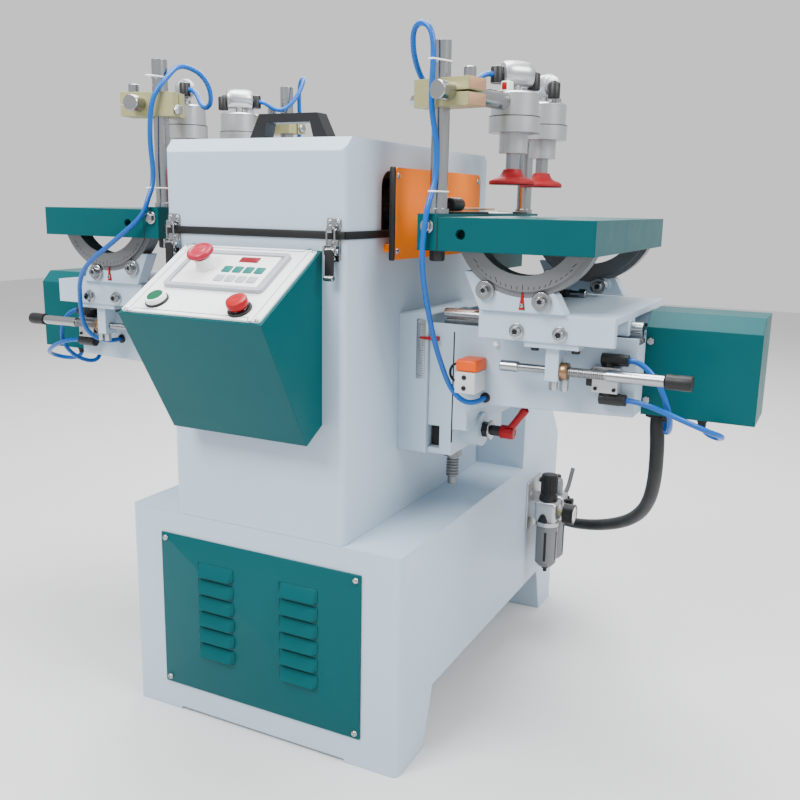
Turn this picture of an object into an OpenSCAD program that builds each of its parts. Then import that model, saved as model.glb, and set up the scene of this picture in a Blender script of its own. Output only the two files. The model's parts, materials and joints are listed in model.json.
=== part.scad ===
// Tenoning machine with two tilting, height-adjustable clamping tables.
// Millimetres, +Z up, the front faces -Y. The origin lies on the floor under the middle of the machine.
// Inside the modules y is measured from the front face of the casing, and placed() moves it to the origin.
// The two table assemblies are mirror images, so each is drawn once for the right-hand side.

/* [Pedestal] */
// Width of the pedestal
base_w = 500; // [460:5:560]
// Depth of the pedestal with its rear cabinet
base_d = 753; // [740:1:800]
// Height of the pedestal shoulders
base_h = 351; // [330:1:380]
// Thickness of the folded steel sheet
sheet = 6; // [4:1:8]
// Radius of the upright casing corners
corner_r = 10; // [4:1:14]
// Height of the arch between the feet
arch_h = 96; // [60:1:120]
// Depth of the front foot at the floor
front_foot_d = 92; // [70:1:110]
// Depth of the rear foot at the floor
rear_foot_d = 81; // [70:1:100]
// Height of the rear cabinet
cabinet_h = 520; // [480:1:560]
// Height at which the sloping back of the rear cabinet starts
cabinet_slope_h = 365; // [340:1:380]
// Depth of the level top of the rear cabinet
cabinet_top_d = 102; // [80:1:150]

/* [Louvre panel] */
// Width of the louvred front panel
panel_w = 374; // [340:2:400]
// Height of the louvred front panel
panel_h = 266; // [240:2:280]
// Height of the lower edge of the louvred panel above the floor
panel_z = 48; // [30:1:60]
// Thickness of the louvred panel
panel_t = 3; // [2:0.5:4]
// Length of a louvre
louvre_w = 70; // [50:1:90]
// Radius of the curved lip of a louvre
louvre_r = 11; // [8:0.5:12]
// Thickness of a louvre lip
louvre_t = 1.5; // [1:0.25:2]
// Distance between louvre rows
louvre_pitch = 28; // [26:1:32]
// Distance from the middle of the panel to the middle of a louvre column
louvre_x = 78; // [70:1:90]
// Height of the lowest louvre above the floor
louvre_z = 115; // [95:1:125]
// Number of louvre rows
louvre_rows = 6; // [3:1:6]

/* [Column and hood] */
// Half the width of the column
column_hw = 155; // [145:1:165]
// Depth of the column
column_d = 523; // [521:1:540]
// Height of the column top
column_top = 797; // [785:1:800]
// Height of the floor of the cutter chamber
chamber_z = 705; // [690:1:715]
// Thickness of the seal between column and hood
seal_t = 8; // [5:1:10]
// Width of the seal
seal_w = 14; // [10:1:18]
// How far the seal stands out from the column
seal_proud = 2; // [1:0.5:3]
// Height of the hood from the seal to its top
hood_h = 127; // [115:1:140]
// Size of the bevel along the front and rear of the hood top
hood_bevel = 19; // [10:1:25]
// Thickness of the hood sheet
hood_t = 4; // [3:0.5:6]
// Distance from the front to the work opening in the hood side
window_y = 105; // [95:1:120]
// Depth of the work opening
window_d = 305; // [280:1:320]
// Height of the work opening
window_h = 86; // [70:1:95]
// Radius of the upper corners of the work opening
window_r = 24; // [10:1:30]
// Radius of the hood hinge knuckles
knuckle_r = 7; // [6:0.5:9]
// Radius of the hood hinge pin
hinge_pin_r = 3; // [2.5:0.5:4]
// Length of a hinge knuckle
knuckle_l = 40; // [30:1:45]
// Half the width of the hood handle
handle_hw = 72; // [60:1:85]
// Height of the hood handle
handle_h = 41; // [34:1:50]
// Thickness of the hood handle bar
handle_t = 13; // [10:1:16]
// Width of the hood handle
handle_d = 26; // [20:1:32]
// Distance from the front to the middle of the hood handle
handle_y = 109; // [90:1:200]

/* [Guards] */
// Gap between the column side and a guard sheet
guard_gap = 24; // [20:1:26]
// Thickness of a guard sheet
guard_t = 5; // [3:1:6]
// Distance from the front to a guard sheet
guard_y = 89; // [80:1:100]
// Length of a guard sheet
guard_l = 325; // [300:5:340]
// Height of the lower edge of a guard sheet
guard_z = 765; // [750:1:775]
// Height of a guard sheet
guard_h = 130; // [110:1:140]
// Radius of the guard corners
guard_r = 12; // [6:1:16]

/* [Control box] */
// Half the width of the control box
box_hw = 119; // [110:1:130]
// Height of the back edge of the sloping panel
box_back_z = 779; // [765:1:785]
// Reach of the sloping panel in front of the column
box_reach = 147; // [130:1:160]
// Drop of the sloping panel from back to front
box_drop = 88; // [70:1:100]
// Height of the lower front edge
box_low_z = 509; // [490:1:530]
// Reach of the lower front edge
box_low_reach = 40.6; // [30:0.2:50]
// Rise of the underside towards the column
box_under_rise = 22; // [10:1:30]
// Thickness of the printed panel plate
plate_t = 3; // [2:0.5:4]
// Margin of the panel plate inside the box edge
plate_margin = 4; // [2:0.5:6]
// Width of the counter unit
counter_w = 166; // [150:1:176]
// Length of the counter unit along the slope
counter_l = 88; // [80:1:92]
// Height of the counter unit above the plate
counter_h = 6; // [4:1:9]
// Distance from the middle of the panel to the middle of the counter unit
counter_x = 2; // [-6:1:8]
// Distance down the slope to the counter unit
counter_s = 23; // [18:1:26]
// Diameter of the emergency stop head
estop_d = 40; // [36:1:42]
// Diameter of a push button bezel
bezel_d = 30; // [26:1:32]
// Diameter of a push button cap
cap_d = 22; // [18:1:24]
// Height of a push button bezel
bezel_h = 9; // [6:1:12]
// Travel of a push button
button_travel = 4; // [2:0.5:5]

/* [Slide ways] */
// Thickness of the fixed slide way
way_w = 50; // [40:1:60]
// Distance from the front to the slide way
way_y = 170; // [165:1:180]
// Depth of the slide way
way_d = 250; // [240:1:260]
// Height of the lower end of the slide way
way_z = 461; // [450:1:470]
// Height of the slide way
way_h = 218; // [205:1:225]
// Width of the dovetail at its root
tail_w = 60; // [50:1:70]
// Depth of the dovetail
tail_d = 12; // [8:1:14]
// How far each dovetail flank leans out
tail_flare = 5; // [3:0.5:7]
// Sliding clearance
slide_clear = 0.3; // [0.2:0.05:0.5]

/* [Arm] */
// Thickness of the moving slide plate
knee_w = 40.7; // [38:0.1:48]
// Reach of the arm beyond the slide plate
arm_l = 276; // [274:1:290]
// Depth of the arm
arm_d = 224; // [215:1:230]
// Height of the arm top, where the rails sit
arm_top = 657; // [652:1:660]
// Depth of the arm section at its outer end
arm_h = 101; // [90:1:110]
// Height of the front lip above the arm top
lip_h = 10; // [6:1:11]
// Thickness of the front lip
lip_t = 8; // [6:1:10]
// Height of the lower end of the slide plate foot
foot_z = 461; // [450:1:470]
// Height of the foot under the lifting nut slot
foot_h = 36; // [30:1:38]
// Radius of the lifting screw
screw_r = 8; // [6:0.5:9]
// Height of the lower end of the lifting screw
screw_z = 398; // [390:1:404]
// Radius of the lock boss
boss_r = 27; // [22:1:30]
// Length of the lock boss
boss_l = 30; // [24:1:40]
// Radius of the lock stud
stud_r = 6; // [5:0.5:8]
// Length of the lock lever
lever_l = 48; // [40:1:52]

/* [Rails and carriage] */
// Radius of a guide rod
rod_r = 9; // [8:0.5:9.5]
// Height of the guide rod axis above the arm top
rod_rise = 22; // [21:0.5:24]
// Distance from the front to the front guide rod
rod_front_y = 207; // [203:1:212]
// Distance between the guide rods
rod_gap = 170; // [160:1:175]
// Width of a rail foot
rail_w = 34; // [28:1:36]
// Thickness of a rail foot
rail_t = 6; // [5:0.5:7]
// Length of the carriage
carriage_l = 194; // [180:1:198]
// Distance from the casing side to the carriage
carriage_x = 156; // [152:1:160]
// Distance from the front to the carriage apron
carriage_y = 110; // [108:1:116]
// Depth of the carriage
carriage_d = 322; // [315:1:330]
// Height of the carriage top above the arm top
carriage_rise = 44; // [42:1:48]
// Thickness of the carriage top plate
carriage_t = 10; // [8:1:11]
// Height of the carriage apron
apron_h = 40; // [36:1:44]
// Thickness of the carriage apron
apron_t = 12; // [10:1:14]
// Length of a bearing block
bearing_l = 45; // [36:1:50]
// Width of a bearing block
bearing_w = 38; // [34:1:40]
// Running clearance of shafts and rods
run_clear = 0.05; // [0.02:0.01:0.1]

/* [Stop rod] */
// Distance from the front to the stop rod axis
stop_y = 134; // [132:1:138]
// Drop of the stop rod axis below the carriage apron
stop_drop = 41; // [36:1:46]
// Radius of the stop rod
stop_r = 6; // [5:0.5:7]
// Length of the stop rod without its grip
stop_l = 233; // [220:1:240]
// Length of the stop rod grip
grip_l = 34; // [28:1:40]
// Radius of the stop rod grip
grip_r = 10; // [8:0.5:11]

/* [Tables] */
// Distance from the casing side to the inner edge of a table
table_x = 76; // [70:1:84]
// Length of a table along the machine
table_l = 251; // [240:1:256]
// Depth of a table
table_d = 430; // [420:1:440]
// Distance from the front to a table
table_y = 68; // [64:1:72]
// Height of the table top
table_z = 828; // [824:1:832]
// Height of the table sides
table_h = 46; // [42:1:48]
// Thickness of the table top and its ribs
table_t = 14; // [10:1:16]
// Width of the fence bar
fence_w = 31; // [28:1:34]
// Height of the fence bar above the table top
fence_rise = 4; // [2:0.5:6]
// Length of the chip apron under the fence bar
chip_l = 164; // [140:1:180]
// Depth of the chip apron below the table
chip_h = 44; // [34:1:50]
// Outer radius of a tilting segment
seg_r = 106; // [102:1:108]
// Outer radius of the graduated band of a segment
seg_band_r = 98; // [94:1:100]
// Inner radius of a tilting segment
seg_bore_r = 76; // [70:1:80]
// Thickness of a tilting segment
seg_t = 24; // [20:1:28]
// How far the graduated band stands proud
seg_band_t = 4; // [2:0.5:5]
// Distance from the table front to the front segment
seg_y = 36; // [34:1:40]
// Distance from the casing side to the tilt axis
tilt_x = 222; // [218:1:226]

/* [Clamps] */
// Radius of a clamp post
post_r = 12.5; // [10:0.5:13]
// Height of a clamp post above the table
post_h = 233; // [215:1:250]
// Distance from the inner table edge to the post axis
post_x = 16; // [15:0.5:18]
// Distance from the table ends to the post axes
post_y = 34; // [30:1:38]
// Height of the clamp block middle above the table
block_rise = 164; // [150:1:175]
// Length of a clamp block
block_l = 92; // [86:1:98]
// Width of a clamp block
block_w = 40; // [36:1:44]
// Height of a clamp block
block_h = 37; // [34:1:42]
// Distance between the post axis and the cross rod axis
cross_x = 28; // [26:0.5:30]
// Radius of a cross rod
cross_r = 12.5; // [11:0.5:13]
// Reach of a front cross rod from the post to the cylinder axis
cross_l = 142; // [130:1:150]
// Reach of a rear cross rod from the post to the cylinder axis
rear_cross_l = 92; // [84:1:120]
// How far a cross rod stands out behind the post
cross_tail = 46; // [36:1:60]
// Turn of the front clamp block
front_turn = 13; // [8:1:20]
// Turn of the rear clamp block
rear_turn = 18; // [12:1:24]
// Radius of a cylinder cap
cyl_r = 35; // [32:1:37]
// Radius of a cylinder flange
flange_r = 37.5; // [35:0.5:40]
// Radius of a cylinder nose
nose_r = 21; // [19:1:24]
// Height of a cylinder cap
cyl_cap_h = 33; // [30:1:40]
// Height of a cylinder flange
flange_h = 23; // [18:1:26]
// Height of a cylinder nose
nose_h = 29; // [24:1:34]
// Radius of a piston rod
piston_r = 10; // [8:0.5:12]
// Length of piston rod that shows
piston_l = 23; // [18:1:30]
// Radius of a clamp pad
pad_r = 34; // [28:1:37]
// Thickness of a clamp pad rim
pad_t = 9; // [7:1:12]
// Height of a clamp pad hub
pad_hub_h = 13; // [10:1:16]

/* [End covers] */
// Length of an end cover
cover_l = 157; // [140:1:165]
// Distance from the front to an end cover
cover_y = 229; // [222:1:235]
// Depth of an end cover
cover_d = 100; // [90:1:110]
// Height of the front of an end cover
cover_h = 128; // [115:1:135]
// Size of the bevel along the top of an end cover
cover_bevel = 21; // [12:1:26]
// Distance of the cover bottom below the arm end
cover_drop = 5; // [0:1:10]

/* [Spindle] */
// Radius of the spindle motor
motor_r = 58; // [50:1:62]
// Half the length of the spindle motor
motor_hl = 88; // [80:1:92]
// Radius of the spindle
spindle_r = 15; // [12:1:18]
// Radius of a cutter head
cutter_r = 40; // [34:1:46]
// Length of a cutter head
cutter_l = 36; // [30:1:42]
// Height of the spindle above the table top
spindle_rise = 17; // [12:1:22]

/* [Air unit] */
// Height of the air unit body
air_z = 238; // [225:1:250]
// Height of the air unit body block
air_h = 43; // [36:1:48]
// Distance from the rear of the pedestal to the first air unit
air_y = 184; // [170:1:200]
// Distance between the two air units
air_pitch = 50; // [48:1:56]
// Radius of a bowl
bowl_r = 21; // [18:1:23]
// Length of a bowl
bowl_l = 95; // [80:1:105]
// Distance from the casing side to the air unit axis
air_x = 40; // [34:1:46]

/* [Hidden] */
$fn = 48;
overrun = 1;

base_hw = base_w / 2;
cabinet_y = column_d;
front_y = -(base_d - box_reach) / 2;
hood_z = column_top + seal_t;
hood_top = hood_z + hood_h;
hinge_y = column_d + seal_proud + knuckle_r + slide_clear;
hinge_leaf_h = 28;
slope_angle = atan(box_drop / box_reach);
slope_l = sqrt(box_drop * box_drop + box_reach * box_reach);

arch_slant = 30;
front_recess_h = 5;
front_recess_hw = 158;

way_x = column_hw;
knee_x = way_x + way_w + slide_clear;
arm_x = knee_x + knee_w;
arm_inset = 6;
arm_y = way_y + arm_inset;
arm_end = arm_x + arm_l;
arm_low = arm_top - arm_h;
arm_wall = 12;
arm_haunch_shares = [0.205, 0.09, 0.07, 0.22, 0.52];
rod_z = arm_top + rod_rise;
rod_ys = [rod_front_y, rod_front_y + rod_gap];
rail_inset = 12;
rail_neck = 10;
carriage_x0 = column_hw + carriage_x;
carriage_top = arm_top + carriage_rise;
carriage_x1 = carriage_x0 + carriage_l;
apron_low = carriage_top - apron_h;
bearing_low = arm_top + lip_h + slide_clear * 5;

stop_z = apron_low - stop_drop;
stop_inset = 27;
stop_x0 = carriage_x0 + stop_inset;
tee_t = 19;
tee_x = carriage_x0 + carriage_l / 2 + tee_t / 2;
tee_w = 78;
tee_flange_t = 8;
tee_depth = 26;
tee_below = 14;
collar_l = 11;
collar_r = 12;
sleeve_l = 27;
sleeve_r = 8;

table_x0 = column_hw + table_x;
table_x1 = table_x0 + table_l;
table_low = table_z - table_h;
fence_x1 = table_x0 + fence_w;
tilt_ax = column_hw + tilt_x;
seg_front_y = table_y + seg_y;
seg_rear_y = table_y + table_d - seg_y - seg_t;
seg_ys = [seg_front_y, seg_rear_y];
table_hole_r = 7;
table_hole_x = 34;
table_hole_depth = 20;
chip_t = 6;

cradle_t = seg_t;
cradle_rise = 53;
cradle_in_top = 88;
cradle_in_low = 63;
cradle_out_low = 61;
cradle_out_top = 46;
cradle_out_rise = 27;
washer_r = 11;
washer_t = 4;
clamp_bolt_r = 7;
clamp_bolt_h = 8;
clamp_angles = [-29, 14];
washer_seat_share = 0.65;

post_ax = table_x0 + post_x;
post_ys = [table_y + post_y, table_y + table_d - post_y];
fence_top = table_z + fence_rise;
post_top = table_z + post_h;
post_foot_r = 14.8;
post_foot_t = 7;
post_nut_r = 9.4;
post_nut_h = 13;
block_z = table_z + block_rise;
block_split = 3;
cyl_drop = 20;
cyl_low = block_z - cyl_drop;
nose_low = cyl_low - flange_h - nose_h;
pad_low = nose_low - piston_l - pad_hub_h - pad_t;
pad_rim_share = 0.6;
pad_top_share = 0.85;
pad_hub_wall = 3;
port_r = 7;
port_h = 12;
port_body_r = 14;
port_body_l = 46;
port_seat_share = 0.8;
port_turn = 63;
elbow_r = 9;
elbow_l = 24;

steep_share = 0.7;
nut_shift = -way_d / 4;
nut_h = 26;
nut_w = 26;
nut_z = way_z + way_h / 2;
screw_x = knee_x + knee_w / 2;
screw_y = way_y + way_d / 2 + nut_shift;
tail_shift = way_d / 5;
slot_top = arm_top - lip_t;

spindle_z = table_z + spindle_rise;
spindle_y = window_y + window_d / 2;
motor_foot_hw = 60;
motor_foot_hd = 50;
shaft_gap = 8;
knife_t = 5;
knife_proud = 3;
knives = 4;

cover_x0 = arm_end;
cover_x1 = arm_end + cover_l;
cover_z = arm_low - cover_drop;
cover_t = 3;
switch_x = 22;
switch_z = 572;
switch_w = 32;
switch_d = 46;
switch_h = 32;
switch_cap_h = 18;
valve_x = 222;
valve_z = 592;
valve_w = 36;
valve_d = 26;
valve_h = 36;
valve_elbow_r = 8;
valve_elbow_l = 28;
valve_neck_r = 6;
valve_elbow_z = 10;

screw_collar_h = 14;
screw_collar_wall = 7;
screw_cone_h = 16;
screw_square_share = 0.7;
lock_y = 60;
lock_drop = 61;
lock_z = arm_low - lock_drop;
hub_r = 10;
hub_l = 22;
lever_r = 6;
lever_lean = 35;
stud_l = 52;

latch_x = 139;
latch_w = 22;
latch_plate_t = 3;
latch_plate_h = 30;
latch_plate_drop = 2;
latch_pivot_drop = 15;
latch_pin_r = 3;
latch_gap = 7;
latch_lever_l = 38;
latch_lever_t = 3;
ear_t = 3;

air_ax = base_hw + air_x;
air_y0 = base_d - air_y;
air_bracket_t = 4;
air_bracket_h = 70;
air_body_w = 44;
knob_r = 15;
knob_h = 52;
gauge_r = 19;
gauge_t = 20;
dome_r = 13;
dome_h = 34;
bowl_neck = 3;
tail_r = 4;
tail_rise_l = 30;
tail_bend_r = 60;
tail_bend_angle = 50;
tail_end_l = 28;
tail_gap = 0.5;
tail_collar_r = 5.5;
tail_collar_l = 8;

cavity_share = 0.9;
spacer_r = 6;
spacer_inset = 30;
guard_spacer_rise = 15;
bezel_x = -69;
bezel_s = 142;
stop_button_x = 73;
stop_button_s = 147;
estop_x = -37;
estop_s = 62;
estop_neck_d = 24;
estop_neck_h = 12;
estop_head_h = 16;
estop_top_share = 0.4;
button_stem_h = 5;
stop_cap_h = 14;

air_tube_d = 8;
conduit_d = 22;
tube_sides = 8;
conduit_sides = 12;

// Routes of the blue air tubes, drawn for the right-hand side, y from the casing front
post_tube = [
    [281.1, 201.8, 1029], [276.6, 194, 1029], [269, 181, 1022], [259, 164, 1008], [245, 151, 998],
    [229, 142, 995], [214, 134, 1003], [206, 121, 1019], [204, 106, 1041], [208, 92, 1065],
    [219, 82, 1082], [232, 78, 1080], [241, 76, 1063], [245, 75, 1042], [246, 73, 1018], [246, 72, 992],
    [247, 73, 965], [250, 80, 935], [252, 82, 900], [251, 77, 870], [249, 64, 846], [247, 60, 822], [244, 58, 785],
    [242, 66, 750], [242, 80, 712], [243, 96, 675], [245, 112, 640], [249, 128, 608],
    [255, 140, 580], [268, 147, 560], [288, 149, 555], [300, 157, 558], [300, 166, 560], [300, 176, 560]
];
// The left front clamp has a wider loop, and its tube swings out in front of the carriage
left_post_tube = [
    [276.6, 209.6, 1029], [268, 209.4, 1029], [259, 208, 1024], [248, 203, 1006], [237, 198, 994],
    [225, 194, 996], [216, 189, 1012], [213, 181, 1033], [219, 164, 1051], [230, 141, 1056],
    [229, 118, 1049], [225, 98, 1036], [229, 81, 1019], [238, 73, 998], [243, 72, 970], [246, 73, 945],
    [248, 76, 920], [248, 79, 895], [247, 76, 866], [247, 64, 846], [250, 58, 826],
    [264, 53, 808], [296, 49, 785], [330, 49, 763], [364, 53, 744], [394, 62, 724],
    [420, 77, 700], [438, 93, 673], [446, 108, 644], [446, 117, 618], [438, 127, 600],
    [428, 142, 591], [424, 156, 590], [424, 166, 590], [424, 176, 590]
];
// The tube of the left rear clamp
rear_tube = [
    [270.4, 407.6, 1029], [262, 408, 1029], [253, 411, 1024], [245, 418, 1014], [237, 425, 1011],
    [229, 432, 1017], [221, 442, 1031], [215, 454, 1047], [213, 467, 1063], [218, 479, 1077],
    [228, 487, 1078], [235, 492, 1062], [238, 495, 1040], [238, 496, 1012], [238, 496, 985], [240, 494, 960],
    [246, 488, 930], [250, 486, 900], [250, 488, 868], [249, 500, 846], [248, 506, 822],
    [246, 507, 790], [246, 500, 756], [250, 482, 722], [256, 460, 686], [264, 438, 650],
    [276, 420, 618], [282, 410, 606], [282, 400, 606]
];
valve_tube = [
    [514, 163, 638], [524, 163, 638], [540, 161, 630], [556, 161, 612], [567, 166, 588],
    [572, 178, 564], [571, 196, 546], [566, 220, 535], [558, 244, 533], [556, 252, 541], [556, 252, 551]
];
return_tube = [
    [514, 163, 582], [524, 163, 582], [546, 160, 579], [574, 161, 570], [602, 170, 558],
    [626, 186, 546], [640, 208, 538], [638, 232, 532], [620, 247, 532], [606, 252, 541], [606, 252, 551]
];
// Route of the black conduit from the right-hand end cover to the rear cabinet
conduit_route = [
    [540, 270, 551], [540, 270, 540], [540, 270, 526], [541, 276, 500], [539, 292, 466], [533, 322, 426],
    [520, 366, 380], [498, 418, 338], [466, 476, 300], [428, 534, 268], [386, 590, 240],
    [340, 644, 216], [306, 680, 203], [284, 696, 200], [268, 696, 200], [250, 696, 200]
];

// Moves what is measured from the casing front to the origin under the machine
module placed() {
    translate([0, front_y, 0]) children();
}

// Draws a right-hand assembly in place, or its mirror image on the left
module on_side(left) {
    placed() mirror([left ? 1 : 0, 0, 0]) children();
}

module block(x0, x1, y0, y1, z0, z1) {
    translate([x0, y0, z0]) cube([x1 - x0, y1 - y0, z1 - z0]);
}

module bar_x(x0, x1, y, z, r) {
    translate([x0, y, z]) rotate([0, 90, 0]) cylinder(r = r, h = x1 - x0);
}

module bar_y(x, y0, y1, z, r) {
    translate([x, y1, z]) rotate([90, 0, 0]) cylinder(r = r, h = y1 - y0);
}

module bar_z(x, y, z0, z1, r) {
    translate([x, y, z0]) cylinder(r = r, h = z1 - z0);
}

// A profile given as [y, z] points, drawn out along X
module profile_x(points, x0, x1) {
    translate([x0, 0, 0]) rotate([90, 0, 90]) linear_extrude(x1 - x0) polygon(points);
}

// A profile given as [x, z] points, drawn out along Y
module profile_y(points, y0, y1) {
    translate([0, y1, 0]) rotate([90, 0, 0]) linear_extrude(y1 - y0) polygon(points);
}

// A rectangle with round corners, from its lower left corner
module round_rect(w, d, r) {
    translate([r, 0]) square([w - 2 * r, d]);
    translate([0, r]) square([w, d - 2 * r]);
    for (x = [r, w - r], y = [r, d - r]) translate([x, y]) circle(r);
}

// The frame of the sloping panel: X right, -Y down the slope, Z out of the panel
module on_panel(x, s) {
    translate([0, 0, box_back_z]) rotate([slope_angle, 0, 0]) translate([x, -s, 0]) children();
}

function unit(v) = v / norm(v);

function tangent(p, i) = unit(p[min(i + 1, len(p) - 1)] - p[max(i - 1, 0)]);

// The side vector of each ring, carried along the route so that the tube doesn't twist
function carried(p, i, s) =
    let (t = tangent(p, i), n = unit(s - (s * t) * t))
    i == len(p) - 1 ? [n] : concat([n], carried(p, i + 1, n));

// A tube swept along route points as one closed solid
module tube(p, d, sides) {
    start = tangent(p, 0);
    first = abs(start[2]) > steep_share ? [1, 0, 0] : [0, 0, 1];
    side = carried(p, 0, first);
    points = [
        for (i = [0 : len(p) - 1], k = [0 : sides - 1])
            let (t = tangent(p, i), b = cross(t, side[i]), a = 360 * k / sides)
            p[i] + d / 2 * (cos(a) * side[i] + sin(a) * b)
    ];
    last = (len(p) - 1) * sides;
    walls = [
        for (i = [0 : len(p) - 2], k = [0 : sides - 1])
            let (n = (k + 1) % sides, q = i * sides)
            each [[q + k, q + sides + k, q + n], [q + n, q + sides + k, q + sides + n]]
    ];
    ends = [
        for (k = [1 : sides - 2]) each [[0, k, k + 1], [last, last + k + 1, last + k]]
    ];
    polyhedron(points, concat(walls, ends));
}

// Casing

module pedestal() {
    arch = [
        [front_foot_d, -overrun], [front_foot_d, 0], [front_foot_d + arch_slant, arch_h],
        [base_d - rear_foot_d - arch_slant, arch_h], [base_d - rear_foot_d, 0],
        [base_d - rear_foot_d, -overrun]
    ];
    outline = [
        [0, 0], [base_d, 0], [base_d, cabinet_slope_h], [cabinet_y + cabinet_top_d, cabinet_h],
        [cabinet_y, cabinet_h], [cabinet_y, base_h], [0, base_h]
    ];
    inside = [
        [sheet, arch_h + sheet], [base_d - sheet, arch_h + sheet],
        [base_d - sheet, cabinet_slope_h - sheet], [cabinet_y + cabinet_top_d - sheet, cabinet_h - 2 * sheet],
        [cabinet_y + sheet, cabinet_h - 2 * sheet], [cabinet_y + sheet, base_h - sheet],
        [sheet, base_h - sheet]
    ];
    color("gainsboro") placed() difference() {
        intersection() {
            profile_x(outline, -base_hw, base_hw);
            translate([-base_hw, 0, 0]) linear_extrude(cabinet_h) round_rect(base_w, base_d, corner_r);
        }
        profile_x(inside, sheet - base_hw, base_hw - sheet);
        profile_x(arch, -base_hw - overrun, base_hw + overrun);
        block(-front_recess_hw, front_recess_hw, -overrun, front_foot_d + arch_slant, -overrun, front_recess_h);
    }
}

// Hinge knuckles along the rear of the column, at every other place from first
module knuckles(first) {
    for (i = [first : 2 : 4]) {
        x = (i - 2) * knuckle_l;
        bar_x(x - knuckle_l / 2 + slide_clear, x + knuckle_l / 2 - slide_clear, hinge_y, hood_z, knuckle_r);
    }
}

module column() {
    color("gainsboro") placed() {
        difference() {
            translate([-column_hw, 0, base_h]) linear_extrude(column_top - base_h)
                round_rect(2 * column_hw, column_d, corner_r);
            block(sheet - column_hw, column_hw - sheet, sheet, column_d - sheet, base_h + sheet, chamber_z - sheet);
            block(sheet - column_hw, column_hw - sheet, sheet, column_d - sheet, chamber_z, column_top + overrun);
        }
        difference() {
            union() {
                knuckles(0);
                for (i = [0 : 2 : 4]) {
                    x = (i - 2) * knuckle_l;
                    block(x - knuckle_l / 2 + slide_clear, x + knuckle_l / 2 - slide_clear, column_d - overrun,
                        hinge_y, hood_z - hinge_leaf_h, hood_z);
                }
            }
            block(-column_hw, column_hw, column_d - overrun, column_d + seal_proud + slide_clear, column_top, hood_z);
        }
        bar_x(-5 * knuckle_l / 2, 5 * knuckle_l / 2, hinge_y, hood_z, hinge_pin_r);
    }
}

// One louvre lip, open at its lower edge
module louvre(x, z) {
    intersection() {
        difference() {
            bar_x(x - louvre_w / 2, x + louvre_w / 2, 0, z, louvre_r);
            bar_x(x - louvre_w / 2 + louvre_t, x + louvre_w / 2 - louvre_t, 0, z, louvre_r - louvre_t);
        }
        block(x - louvre_w, x + louvre_w, -louvre_r - overrun, -panel_t, z, z + louvre_r + overrun);
    }
}

module louvre_panel() {
    color("teal") placed() {
        difference() {
            block(-panel_w / 2, panel_w / 2, -panel_t, 0, panel_z, panel_z + panel_h);
            for (x = [-louvre_x, louvre_x], i = [0 : louvre_rows - 1])
                block(x - louvre_w / 2 + louvre_t, x + louvre_w / 2 - louvre_t, -panel_t - overrun, overrun,
                    louvre_z + i * louvre_pitch, louvre_z + i * louvre_pitch + louvre_r / 2);
        }
        for (x = [-louvre_x, louvre_x], i = [0 : louvre_rows - 1]) louvre(x, louvre_z + i * louvre_pitch);
    }
}

module control_box() {
    outline = [
        [0, box_back_z], [-box_reach, box_back_z - box_drop], [-box_low_reach, box_low_z],
        [0, box_low_z + box_under_rise]
    ];
    middle = [-box_reach / 3, (box_back_z + box_low_z) / 2];
    color("teal") placed() difference() {
        profile_x(outline, -box_hw, box_hw);
        profile_x([for (p = outline) middle + (p - middle) * cavity_share], sheet - box_hw, box_hw - sheet);
        on_panel(stop_button_x, stop_button_s) button_hole();
        on_panel(bezel_x, bezel_s) button_hole();
        on_panel(estop_x, estop_s) button_hole();
    }
}

// Clearance through the panel for a button stem
module button_hole() {
    translate([0, 0, -bezel_d]) cylinder(d = cap_d / 2 + 2 * slide_clear, h = 2 * bezel_d);
}

module control_plate() {
    color("whitesmoke") placed() difference() {
        on_panel(0, slope_l) translate([plate_margin - box_hw, plate_margin, 0]) linear_extrude(plate_t)
            round_rect(2 * (box_hw - plate_margin), slope_l - 2 * plate_margin, plate_margin);
        on_panel(stop_button_x, stop_button_s) button_hole();
        on_panel(bezel_x, bezel_s) button_hole();
        on_panel(estop_x, estop_s) button_hole();
    }
}

module counter_unit() {
    color("lightgrey") placed() {
        difference() {
            on_panel(counter_x - counter_w / 2, counter_s + counter_l) translate([0, 0, plate_t])
                linear_extrude(counter_h) round_rect(counter_w, counter_l, plate_margin);
            on_panel(estop_x, estop_s) button_hole();
        }
        on_panel(estop_x, estop_s) translate([0, 0, plate_t + counter_h]) difference() {
            cylinder(d = bezel_d, h = estop_neck_h - button_travel - slide_clear);
            translate([0, 0, -overrun]) cylinder(d = cap_d / 2 + 2 * slide_clear, h = estop_neck_h + 2 * overrun);
        }
        for (b = [[bezel_x, bezel_s], [stop_button_x, stop_button_s]])
            on_panel(b[0], b[1]) translate([0, 0, plate_t]) difference() {
                cylinder(d = bezel_d, h = bezel_h);
                translate([0, 0, bezel_h - button_travel - button_stem_h])
                    cylinder(d = cap_d + 2 * slide_clear, h = bezel_h);
                translate([0, 0, -overrun]) cylinder(d = cap_d / 2 + 2 * slide_clear, h = bezel_h);
            }
    }
}

// A push button: a cap on a stem that runs through the panel
module push_button(x, s, cap_h) {
    on_panel(x, s) {
        translate([0, 0, plate_t + bezel_h - button_stem_h + slide_clear]) cylinder(d = cap_d, h = cap_h);
        translate([0, 0, -cap_d / 2]) cylinder(d = cap_d / 2, h = plate_t + bezel_h + cap_d / 2 - slide_clear);
    }
}

module start_button() {
    color("green") placed() push_button(bezel_x, bezel_s, button_stem_h + overrun);
}

module stop_button() {
    color("red") placed() push_button(stop_button_x, stop_button_s, stop_cap_h);
}

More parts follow.
